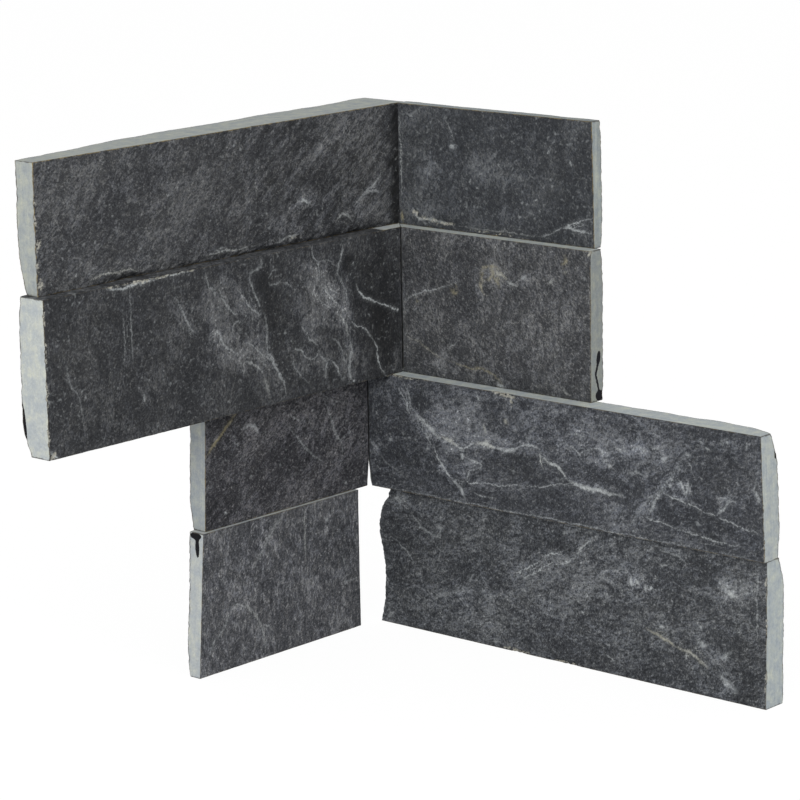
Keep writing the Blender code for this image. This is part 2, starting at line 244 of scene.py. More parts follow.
def lay_strip(node, wing, seed, veins=(), sheaves=(), patches=(), chips=(), blots=(), swells=(),
              bed_tone=((-100, 0.9), (100, 0.9)), end_tone=1.0, dark_bed_from=None, wear=0.35,
              riven=0.10, bonded=True, broken=False):
    """One strip of slate: the skin of a block whose points are placed between the solid's own two
    ends, its wall face and its split face, with grain carved into both faces and the arrises worn.
    A bonded corner end runs on a little, to close its joint. The tables' lengths are millimetres
    along the strip and above its lowest bed; blots are placed by depth and height on the free end.
    Attributes hold each point's place, how far inside a sawn face it is, its tone, its fresh chips,
    its dark blots, how near the sawn faces' own edges are, and the way to its vein and its sheaf."""
    low, high = (np.array(corner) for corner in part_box(node))
    run_axis, deep_axis = (0, 1) if wing == "left" else (1, 0)
    wall = high[deep_axis]
    thick = wall - low[deep_axis]
    # Neighbouring beds meet in the joint, but for the thin adhesive between them
    bottom = low[2] - (BEDDING if low[2] > BEDDING else 0)
    top = high[2] + (BEDDING if high[2] < cad_high[2] - BEDDING else 0)
    run_shares = crowded(high[run_axis] - low[run_axis])
    deep_shares = crowded(thick)
    up_shares = crowded(top - bottom)
    up = bottom + (top - bottom) * up_shares
    safe_up = np.clip(up, low[2] + BED_INSET, high[2] - BED_INSET)

    def spots(run, deep, rise):
        place = np.stack(np.broadcast_arrays(run, deep, rise), -1).astype(float)
        world = np.empty_like(place)
        world[..., run_axis], world[..., deep_axis] = place[..., 0], wall - place[..., 1]
        world[..., 2] = place[..., 2]
        return world

    # The free end is flat, so one depth gives it at every height
    free_end = cast(node, spots(high[run_axis] + STAND_OFF, END_DEPTH, safe_up), run_axis, -1)
    corner_thick = np.nanmedian(wall - cast(
        node, spots(low[run_axis] + INLAND, thick + STAND_OFF, safe_up), deep_axis, 1))
    probe_step = corner_thick * PROBED_SHARE / (CORNER_PROBES - 1)
    probes = probe_step * (np.arange(CORNER_PROBES) + 0.02)
    corner = cast(node, spots(low[run_axis] - STAND_OFF, probes[:, None], safe_up[None]), run_axis, 1)
    corner = filled(corner) - (BEDDING if bonded else 0)

    def corner_at(deep):
        """The corner end's run at a depth for each height, read between probes and carried on past them."""
        place = deep / probe_step
        piece = np.clip(place.astype(int), 0, len(probes) - 2)
        share = place - piece
        rows = np.arange(len(up))[None]
        return corner[piece, rows] * (1 - share) + corner[piece + 1, rows] * share

    outer_start = corner_at(np.full((1, len(up)), corner_thick * SPLIT_SHARE))
    run = outer_start + (free_end[None] - outer_start) * run_shares[:, None]
    run = np.clip(run, run[:1] + SPLIT_INSET, free_end[None] - END_INSET)
    split = wall - cast(node, spots(run, thick + STAND_OFF, safe_up[None]), deep_axis, 1)
    split = softened(filled(split), rounds=5)
    inner_start = corner_at(np.zeros((1, len(up))))
    run = inner_start + (free_end[None] - inner_start) * run_shares[:, None]
    safe_run = np.clip(run, run[:1] + WALL_INSET, free_end[None] - END_INSET)
    face = wall - cast(node, spots(safe_run, -STAND_OFF, safe_up[None]), deep_axis, -1)
    face = filled(face)

    # Grain: broad hollows and thin steps on the wall face, coarser flakes on the split face
    run_mm, up_mm = run / MM, np.broadcast_to(up / MM, run.shape)
    hollow = grain(run_mm / 23, up_mm / 17, seed) + 0.5 * grain(run_mm / 7, up_mm / 5, seed + 1)
    step = np.floor(2.2 * hollow + 0.4 * grain(run_mm / 3, up_mm / 3, seed + 2)) / 2.2
    fine = grain(run_mm / 1.7, up_mm / 1.7, seed + 3)
    from_bed = np.minimum(up - bottom, top - up)[None]
    from_end = free_end[None] - run
    calm = np.clip(np.minimum(from_bed, from_end) / CALM_WIDTH, 0, 1)
    carve = riven * MM * (0.9 + 0.45 * hollow + 0.25 * step + 0.3 * fine) * calm
    flakes = np.abs(grain(run_mm / 6, up_mm / 3.2, seed + 4)) + 0.5 * np.abs(
        grain(run_mm / 2.3, up_mm / 1.6, seed + 5))
    rounding = np.clip(1 - np.minimum(from_bed, from_end) / ROUNDED_WIDTH, 0, 1)
    split = split + FLAKE_DEPTH * (1 - flakes) - FLAKE_DEPTH * rounding ** 2
    split = split + patches_at(run_mm, up_mm, swells) * MM

    # Worn arrises: a few tenths lost along the beds and the free end, more where a chip came out
    def chipping(along, tag):
        notch = np.clip(grain(along / 4.3, along * 0 + tag, seed) - 0.15, 0, 1)
        nick = np.clip(grain(along / 1.3, along * 0 + tag, seed + 9), 0, 1)
        return wear * MM * (0.18 + 1.3 * notch + 0.5 * nick)

    for loss, distance in (
            (chipping(run_mm, 0.3), (up - bottom)[None]),
            (chipping(run_mm, 5.3), (top - up)[None]),
            (chipping(up_mm, 9.3), from_end)):
        carve = np.maximum(carve, loss - 0.8 * distance)
    torn = patches_at(*ragged(run_mm, up_mm, seed, 0.5), chips)
    torn = torn * np.clip(0.75 + 1.1 * grain(run_mm / 1.1, up_mm / 0.9, seed + 12), 0, 1.5)
    carve = np.maximum(carve, CHIP_DEPTH * torn)
    face = np.maximum(face, 0) + np.clip(carve, 0, None)

    (i, j, k), quads = skin((len(run_shares) - 1, len(deep_shares) - 1, len(up_shares) - 1))
    deep = face[i, k] + (split[i, k] - face[i, k]) * deep_shares[j]
    ends = corner_at(split[0][None] * deep_shares[:, None])
    if broken:
        ends = ends + 0.35 * MM * grain(*np.broadcast_arrays(
            deep_shares[:, None] * thick / MM / 1.6, up[None] / MM / 1.3), seed + 6)
    start = ends[j, k]
    place = spots(start + (free_end[k] - start) * run_shares[i], deep, up[k])

    mesh = bpy.data.meshes.new(node + "_stone")
    if wing == "left":
        quads = quads[:, ::-1]
    mesh.vertices.add(len(place))
    mesh.vertices.foreach_set("co", place.ravel())
    mesh.loops.add(quads.size)
    mesh.loops.foreach_set("vertex_index", quads.ravel())
    mesh.polygons.add(len(quads))
    mesh.polygons.foreach_set("loop_start", np.arange(0, quads.size, 4))
    mesh.update(calc_edges=True)

    here_run = place[:, run_axis] / MM
    here_up = place[:, 2] / MM
    on_face = j == 0
    on_skin = on_face | (j == len(deep_shares) - 1)
    on_end = i == len(run_shares) - 1
    on_bed = (k == 0) | (k == len(up_shares) - 1)
    rim = np.minimum(np.minimum(up[k] - bottom, top - up[k]), free_end[k] - place[:, run_axis])
    inwards = np.minimum(deep - face[i, k], split[i, k] - deep)
    sawn = np.where(on_skin, -rim, inwards) / MM
    if broken:
        sawn = np.where((i == 0) & ~on_bed, NOT_SAWN, sawn)
    if dark_bed_from is not None:
        # A bed that is as dark as the faces, except towards the corner
        bed_darkening = np.clip((dark_bed_from - here_run) / 2, NOT_SAWN, 2)
        sawn = np.where(on_bed, np.minimum(sawn, bed_darkening), sawn)
    # Tone from the patches: mostly the stone's own pale and dark figure, but a few dark patches are painted
    # shade and one pale band is partly painted light.
    tone = patches_at(*ragged(here_run, here_up, seed, 1.7), patches)
    points = np.array(bed_tone, float)
    bed = np.interp(here_run, points[:, 0], points[:, 1])
    tone = np.where(on_skin, tone, np.where(on_end, end_tone, np.where(on_bed, bed, CORNER_TONE)))
    blot = patches_at(deep / MM, here_up, blots) * on_end
    fresh = np.where(on_face, torn[i, k], 0)
    # Where two sawn faces meet, and where they meet the split face, the arris is dark
    meeting = np.where(on_end, np.minimum(up[k] - bottom, top - up[k]), free_end[k] - place[:, run_axis])
    arris = np.where(on_skin & ~on_end & ~on_bed, NO_ARRIS,
                     np.minimum(meeting, split[i, k] - deep) / MM)
    figure = []
    for name, curves in (("vein", veins), ("sheaf", sheaves)):
        way, look = np.full((len(place), 3), NO_VEIN), np.zeros((len(place), 3))
        way[on_face], look[on_face] = veins_at(*ragged(here_run[on_face], here_up[on_face], seed, 0.35),
                                               curves)
        figure += [(name + "_way", "FLOAT_VECTOR", way), (name + "_look", "FLOAT_VECTOR", look)]
    for name, kind, values in (
            ("stone_mm", "FLOAT_VECTOR", np.stack([here_run, here_up, deep / MM], 1)),
            ("sawn_mm", "FLOAT", sawn), ("tone", "FLOAT", tone), ("blot", "FLOAT", blot),
            ("fresh", "FLOAT", fresh), ("arris", "FLOAT", arris), *figure):
        attribute = mesh.attributes.new(name, kind, "POINT")
        attribute.data.foreach_set("vector" if kind == "FLOAT_VECTOR" else "value",
                                   values.astype(np.float32).ravel())
    mesh.shade_smooth()
    mesh.set_sharp_from_angle(angle=math.radians(50))
    stone = bpy.data.objects.new(node + "_stone", mesh)
    bpy.context.scene.collection.objects.link(stone)
    return stone


def tint(red, green, blue):
    """A colour as it looks on a screen, from 0 to 255, as the linear light that shaders take."""
    shares = (np.array([red, green, blue]) / 255 + 0.055) / 1.055
    return (*(shares ** 2.4), 1.0)


class Shade:
    """A shader socket. Python's operators on it add Math nodes, whichever side it stands on."""

    def __init__(self, socket):
        self.socket = socket

    def worked(self, operation, values, clamp=False):
        node = self.socket.id_data.nodes.new("ShaderNodeMath")
        node.operation = operation
        node.use_clamp = clamp
        for entry, value in zip(node.inputs, values):
            feed(entry, value)
        return Shade(node.outputs[0])

    def __add__(self, other):
        return self.worked("ADD", (self, other))

    def __sub__(self, other):
        return self.worked("SUBTRACT", (self, other))

    def __rsub__(self, other):
        return self.worked("SUBTRACT", (other, self))

    def __mul__(self, other):
        return self.worked("MULTIPLY", (self, other))

    def __truediv__(self, other):
        return self.worked("DIVIDE", (self, other))

    def __rtruediv__(self, other):
        return self.worked("DIVIDE", (other, self))

    def __pow__(self, other):
        return self.worked("POWER", (self, other))

    def __rpow__(self, other):
        return self.worked("POWER", (other, self))

    def __abs__(self):
        return self.worked("ABSOLUTE", (self,))

    __radd__ = __add__
    __rmul__ = __mul__

    def fraction(self):
        return self.worked("FRACT", (self,))

    def at_least(self, floor):
        return self.worked("MAXIMUM", (self, floor))

    def at_most(self, ceiling):
        return self.worked("MINIMUM", (self, ceiling))

    def clamped(self):
        return self.worked("ADD", (self, 0.0), clamp=True)


def feed(entry, value):
    """Gives an input socket a link or a value."""
    if isinstance(value, Shade):
        entry.id_data.links.new(value.socket, entry)
    else:
        entry.default_value = value


class Finish:
    """A node material with a Principled BSDF."""

    def __init__(self, name):
        self.material = bpy.data.materials.new(name)
        self.material.use_nodes = True
        self.tree = self.material.node_tree
        self.shader = self.tree.nodes["Principled BSDF"]

    def add(self, kind, settings=None, output=0, **sockets):
        """Any node: its type, its settings, then its sockets by name, with _ for a space, or by
        number, with _ before it."""
        node = self.tree.nodes.new(kind)
        for name, value in (settings or {}).items():
            setattr(node, name, value)
        for name, value in sockets.items():
            entry = int(name[1:]) if name[1:].isdigit() else name.replace("_", " ")
            feed(node.inputs[entry], value)
        return Shade(node.outputs[output])

    def noise(self, place, scale, detail, roughness=0.55, distortion=0.0):
        return self.add("ShaderNodeTexNoise", None, 0, Vector=place, Scale=scale, Detail=detail,
                        Roughness=roughness, Distortion=distortion)

    def ramp(self, value, low, high):
        """A soft rise from 0 to 1 as the value goes from low to high."""
        return self.add("ShaderNodeMapRange", {"interpolation_type": "SMOOTHSTEP"}, 0,
                        Value=value, From_Min=low, From_Max=high)

    def mix(self, first, second, factor):
        return self.add("ShaderNodeMix", {"data_type": "RGBA"}, 2,
                        _0=factor, _6=first, _7=second)

    def slanted(self, place, slant, stretch, shift):
        """The same place with lengths along one slant shortened, so that patterns stretch along it."""
        return self.add("ShaderNodeMapping", {"vector_type": "TEXTURE"}, 0, Vector=place,
                        Location=(shift, shift * 0.7, 0.0),
                        Rotation=(0.0, 0.0, math.radians(slant)), Scale=(stretch, 1.0, 1.0))

    def read(self, name, output=1):
        """An attribute of the mesh: its vector, or with output 2 its single value."""
        return self.add("ShaderNodeAttribute", {"attribute_name": name}, output)

    def part(self, vector, axis):
        """One of a vector's three numbers."""
        return self.add("ShaderNodeSeparateXYZ", None, axis, Vector=vector)

    def shaken_length(self, way, place, scale, roughness, reach):
        """The length across the face of a way whose end a noise has pushed about, reach from side to
        side."""
        push = self.add("ShaderNodeTexNoise", None, 1, Vector=place, Scale=scale, Detail=2.0,
                        Roughness=roughness)
        pushed = self.add("ShaderNodeVectorMath", {"operation": "MULTIPLY_ADD"}, 0, _0=push,
                          _1=(reach, reach, reach), _2=way)
        flat = self.add("ShaderNodeVectorMath", {"operation": "MULTIPLY_ADD"}, 0, _0=pushed,
                        _1=(1.0, 1.0, 0.0), _2=(-reach / 2, -reach / 2, 0.0))
        return self.add("ShaderNodeVectorMath", {"operation": "LENGTH"}, 1, _0=flat)


FRESH_CHIP = tint(196, 201, 202)
CHIP_CREAM = tint(176, 174, 163)
GOLDEN_VEIN = tint(152, 143, 108)
RIM_BROWN = tint(128, 112, 74)
BLACK_FLAKE = tint(20, 20, 24)
ARRIS_BROWN = tint(62, 56, 50)


def slate(name, base, cut, seed, slant=70.0, stretch=1.6, fur=1.0, lace=0.3, salt=0.5,
          cloud=1.0, streak=None, rim=0.6, bands=0.5, cut_warm=0.3):
    """Slate for one strip: dark riven faces with fine fur, curling threads and pale specks, veins,
    patches and chips from the strip's own attributes, a brown rim at the arrises, and pale sawn
    faces with bands along the cleavage. Light and dark are powers of two of the base colour."""
    finish = Finish(name)
    stone = finish.read("stone_mm")
    tone = finish.read("tone", 2)
    sawn = finish.read("sawn_mm", 2)
    broad = finish.noise(finish.slanted(stone, slant, 1.4, seed * 5.0), 0.05, 3.0, 0.6)
    hair = finish.noise(finish.slanted(stone, slant, stretch, seed * 13.0), 0.66, 3.0, 0.8, 0.4)
    fuzz = finish.noise(finish.slanted(stone, slant + 55, 1.2, seed * 29.0), 1.5, 2.0, 0.9)
    curly = finish.noise(finish.slanted(stone, slant, stretch * 1.7, seed * 23.0), 0.75, 2.0, 0.6, 0.3)
    wool = (1.0 - abs(curly - 0.5) * 9.0).clamped()
    fleck = finish.ramp(fuzz * 0.45 + hair * 0.55, 0.56, 0.68)
    granular = (1.0 + (fuzz - 0.5) * 2.6 + (hair - 0.5) * 3.0).at_least(0.0)

    # Smoke: contours of two bent noises, each bright on one side and fading away on the other
    curl = finish.noise(finish.slanted(stone, slant, 1.5, seed * 7.0), 0.07, 2.0, 0.5, 1.0)
    curl_small = finish.noise(finish.slanted(stone, slant - 25, 1.4, seed * 17.0), 0.2, 1.0, 0.4, 0.8)
    smoke = (1.0 - (curl * 9.0).fraction()) ** 3.0
    thread = (1.0 - abs((curl_small * 7.0 + hair * 0.5).fraction() - 0.5) * 4.2).clamped()

    # Echoes of a vein: fibres that run beside it, and bend as it does
    way = finish.read("vein_way")
    look = finish.read("vein_look")
    across = finish.shaken_length(way, stone, 0.6, 0.7, 1.8)
    echo = (1.0 - abs(((across + curl_small * 1.5) / 1.3).fraction() - 0.5) * 3.4).clamped()
    echo = echo * (1.0 - across / 4.0).clamped()

    # Sheaves: bundles of fibres that follow a curve side by side, pale between them too
    apart = finish.shaken_length(finish.read("sheaf_way"), stone, 0.24, 0.5, 6.0)
    sheaf_look = finish.read("sheaf_look")
    sheaf_half, sheaf_strength, spacing = (finish.part(sheaf_look, n) for n in range(3))
    strand = (apart + curl_small * 2.4) / (spacing + 0.01)
    strand = (1.0 - abs(strand.fraction() - 0.5) * 2.8).clamped()
    sheaf = finish.ramp(apart / (sheaf_half + 0.01), 1.05, 0.5) * sheaf_strength
    lines = (smoke * 0.5 + thread * 0.9 + echo * 0.9) * granular

    mottle = (1.0 + (curl_small - 0.5) * 2.6 + (hair - 0.5) * 1.6).at_least(0.0)
    pale = tone.at_least(0.0) * mottle + sheaf * 0.35
    # Dark patches: mostly the stone's own dark tone, partly painted shade.
    dark_tone_and_shade = tone.at_most(0.0)
    patchy = finish.ramp(curl_small + (broad - 0.5) * 0.6, 0.40, 0.62)
    fine = ((hair - 0.5) * 4.2 + (wool * patchy - 0.12) * 1.1 + (fuzz - 0.5) * 4.5
            + (fleck - 0.08) * 1.7) * fur
    fine = fine * (pale * 0.3 + 1.0 + dark_tone_and_shade * 0.35)
    octaves = ((broad - 0.5) * (2.4 * cloud) + fine + lines * (lace + pale * 1.5)
               + strand * sheaf * granular * 1.8 + dark_tone_and_shade * 1.25 + pale * 1.3)
    if streak:
        strength, start, end, turn = streak
        run = finish.noise(finish.slanted(stone, turn, 6.0, seed * 19.0), 0.5, 2.0, 0.7)
        octaves = octaves + (run - 0.5) * strength * finish.ramp(finish.part(stone, 0), start, end)
    octaves = octaves - (octaves - 1.1).at_least(0.0) * 0.65
    warm_stone = (base[0] * 1.025, base[1] * 1.01, base[2] * 0.96, 1.0)
    cool_stone = (base[0] * 0.98, base[1] * 0.995, base[2] * 1.03, 1.0)
    warm_share = ((hair - 0.5) * 5.0 + (broad - 0.5) * 2.0 + pale * 0.4 + 0.35).clamped()
    stone_tint = finish.mix(cool_stone, warm_stone, warm_share)
    colour = finish.add("ShaderNodeVectorMath", {"operation": "SCALE"}, 0, _0=stone_tint,
                        Scale=2.0 ** octaves)

    # Salt: the highest peaks of a fine noise, thicker on the ground where a broad one is high
    peak = finish.noise(stone, 0.66, 1.0, 0.5)
    many = finish.noise(stone, 0.09, 2.0, 0.6)
    speck = finish.ramp(peak + (many - 0.5) * 0.4, 0.65 - 0.05 * salt, 0.95 - 0.05 * salt)
    colour = finish.mix(colour, FRESH_CHIP, speck * 0.26)

    # The veins themselves: a grainy line, and a faint glow beside it
    reach = finish.part(way, 2)
    half, strength, warm = (finish.part(look, n) for n in range(3))
    line = (1.5 - across * 1.5 / (half + 0.12)).clamped()
    glow = (1.0 - across / (half * 2.0 + 1.3)).clamped()
    drawn = line * (granular * 0.3 + 0.14) + glow * glow * granular * 0.08
    drawn = drawn * strength * finish.ramp(reach, 3.2, 2.2)
    vein_colour = finish.mix(FRESH_CHIP, GOLDEN_VEIN, warm)
    colour = finish.mix(colour, vein_colour, drawn.clamped())
    fresh = finish.read("fresh", 2) * granular
    colour = finish.mix(colour, CHIP_CREAM, finish.ramp(fresh, 0.3, 1.2) * 0.7)

    # The thin brown line where the dark face meets a sawn one, and the sawn faces beyond it
    edge = sawn + (fuzz - 0.5) * 0.5 + (hair - 0.5) * 0.4
    dust_edge = finish.noise(stone, 0.3, 3.0, 0.7)
    border = finish.ramp(edge, -0.34, -0.06) * finish.ramp(edge, 0.26, 0.04)
    border = border * finish.ramp(dust_edge, 0.36, 0.62)
    layers = finish.add("ShaderNodeMapping", None, 0, Vector=stone, Scale=(0.05, 0.06, 1.0))
    layering = finish.noise(layers, 0.9, 3.0, 0.6)
    marks = finish.noise(finish.slanted(stone, 62, 9.0, seed), 2.6, 2.0)
    dust = finish.noise(stone, 0.25, 4.0, 0.7)
    cut_octaves = ((layering - 0.5) * bands * 1.3 + (dust - 0.5) * 1.2 + (marks - 0.5) * 0.4
                   + (fuzz - 0.5) * 0.6)
    cut_level = (2.0 ** cut_octaves) * tone.at_least(0.0)
    warm_cut = (cut[0] * 1.02, cut[1], cut[2] * 0.88, 1.0)
    cool_cut = (cut[0] * 0.95, cut[1] * 0.99, cut[2] * 1.06, 1.0)
    cut_share = ((dust - 0.5) * 3.0 + (layering - 0.5) * 1.0 + cut_warm).clamped()
    cut_mix = finish.mix(cool_cut, warm_cut, cut_share)
    sawn_colour = finish.add("ShaderNodeVectorMath", {"operation": "SCALE"}, 0, _0=cut_mix,
                             Scale=cut_level)
    blot = finish.read("blot", 2) + (dust - 0.5) * 0.5 + (hair - 0.5) * 0.6 + (fuzz - 0.5) * 0.5
    sawn_colour = finish.mix(sawn_colour, BLACK_FLAKE, finish.ramp(blot, 0.42, 0.56))
    arris = finish.read("arris", 2) + (dust_edge - 0.5) * 1.1 + (fuzz - 0.5) * 0.3
    sawn_colour = finish.mix(sawn_colour, ARRIS_BROWN, finish.ramp(arris, 0.42, 0.12) * 0.75)
    is_sawn = finish.ramp(edge, -0.03, 0.07)
    colour = finish.mix(colour, sawn_colour, is_sawn)
    colour = finish.mix(colour, RIM_BROWN, border * rim)

    feed(finish.shader.inputs["Base Color"], colour)
    feed(finish.shader.inputs["Roughness"], 0.66 + (fuzz - 0.5) * 0.25 + is_sawn * 0.2)
    finish.shader.inputs["Specular IOR Level"].default_value = 0.14
    relief = (hair * 0.5 + fuzz * 0.35 + smoke * 0.1) * (1.0 - is_sawn) + marks * 0.08
    bump = finish.add("ShaderNodeBump", None, 0, Height=relief, Strength=0.6, Distance=0.3 * MM)
    feed(finish.shader.inputs["Normal"], bump)
    return finish.material


def finished(node, stone, material):
    """Gives a stone its material and its place in the piece."""
    stone.data.materials.append(material)
    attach(stone, "root")
    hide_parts(node)


# Veins: points along and up, half width, strength, and warmth from white to golden. Sheaves have the
# spacing of their fibres in place of warmth. Other tables hold ovals, as patches_at takes them.
LEFT_1_VEINS = (
    (((63, 140.7), (58.7, 141.8), (53.5, 141.5), (50.4, 141.3), (46.8, 141.8),
      (42, 140.7)), 0.3, 0.9, 0.3),
    (((12.6, 141.3), (9, 141.1), (4, 141.6), (0, 141.2), (-4, 141), (-12, 141.4)), 0.32, 0.8, 0.1),
    (((8, 142.2), (5.6, 142.6), (3.4, 142.3)), 0.3, 0.5, 0.0),
    (((68.8, 143), (68.2, 143.3)), 0.5, 0.9, 0.0),
    (((61.6, 143.8), (61.1, 144.4)), 0.45, 0.7, 0.0),
    (((-20, 140.6), (-26, 141.6), (-31, 142)), 0.5, 0.75, 0.1),
    (((-49, 143.6), (-52, 145.6), (-55, 145), (-58, 142.4)), 0.5, 0.6, 0.1),
    (((-58, 148), (-64, 151.6), (-70, 155), (-74, 158.4)), 0.5, 0.45, 0.0),
    (((-32, 153), (-34, 152.6), (-37, 151.6)), 0.7, 0.9, 0.0),
    (((-64, 151), (-67, 151.8), (-72, 151)), 0.6, 0.6, 0.0),
)
LEFT_1_PATCHES = (
    (50, 160, 34, 26, 0, 0.12),
    # Painted light and shade at the spalled foot: the long pale band is partly the spall's own brown-grey
    # and partly paints its downward-facing surface as lit. The next two paint shade in the deepest scallops
    # under the chipped arris.
    (14, 139.4, 60, 1.2, 0, 0.6),
    (52, 139.9, 9, 0.9, 0, -1.3),
    (4, 140.2, 9, 0.5, 0, -0.8),
    (-30, 150, 13, 6, 140, 0.45),
    (-32, 157, 13, 2.4, 143, -0.45),
    (-24, 166, 13, 2.6, 143, -0.5),
    (-36, 172, 11, 1.8, 146, -0.5),
    (-50, 173, 9, 4, 143, 0.45),
    (-38, 166, 10, 2, 143, 0.3),
    (-66, 174, 8, 5, 0, 0.35),
    (-66, 146, 8, 4, 0, 0.30),
    (-54, 160, 14, 3.5, 143, -0.30),
    # Partly painted shade, partly a dark stain: a dark band down the face beside the corner, where the right
    # wing's strip butts against it.
    (-80, 160, 3.2, 40, 0, -1.35),
)
LEFT_1_CHIPS = (
    (83.7, 167, 0.8, 2.0, 0, 1.0),
    (83.9, 161, 0.8, 2.6, 0, 1.1),
    (83.4, 154, 1.3, 2.2, 20, 1.2),
    (83.8, 148, 0.9, 2.4, 0, 1.0),
    (83.0, 142.4, 1.6, 2.0, -30, 1.2),
    (55, 141.4, 7, 0.35, 0, 0.8),
    (0, 141.2, 9, 0.3, 0, 0.7),
    (-29, 141.0, 3, 0.5, 0, 0.9),
)
LEFT_1_SWELLS = (
    (84, 176, 8, 26, 0, 1.1),
    (50, 182, 17, 10, 0, -1.3),
    (22, 182, 16, 10, 0, -0.7),
    (-22, 182, 13, 12, 0, 1.5),
    (-50, 182, 18, 12, 0, 0.8),
    (-84, 182, 12, 14, 0, 2.0),
)
LEFT_1_SHEAVES = (
    (((-14, 158), (-28, 168), (-40, 175), (-52, 181)), 2.6, 0.45, 1.3),
    (((4, 149), (-6, 156), (-16, 163)), 2.0, 0.3, 1.2),
    (((-38, 148), (-50, 156), (-62, 163)), 2.4, 0.3, 1.2),
    (((-55, 146), (-64, 151.6), (-74, 158.4)), 1.8, 0.4, 1.0),
)
finished("left_wing_row_1",
         lay_strip("left_wing_row_1", "left", 11.0, veins=LEFT_1_VEINS, sheaves=LEFT_1_SHEAVES,
                   patches=LEFT_1_PATCHES, chips=LEFT_1_CHIPS, swells=LEFT_1_SWELLS, wear=0.45,
                   bonded=False),
         slate("slate_left_1", tint(59, 60, 62), tint(162, 165, 161), 1.0, slant=140, stretch=1.4,
               fur=1.0, lace=0.15, salt=0.6, cloud=0.75, streak=(4.0, 30, -32, 143), rim=0.85))
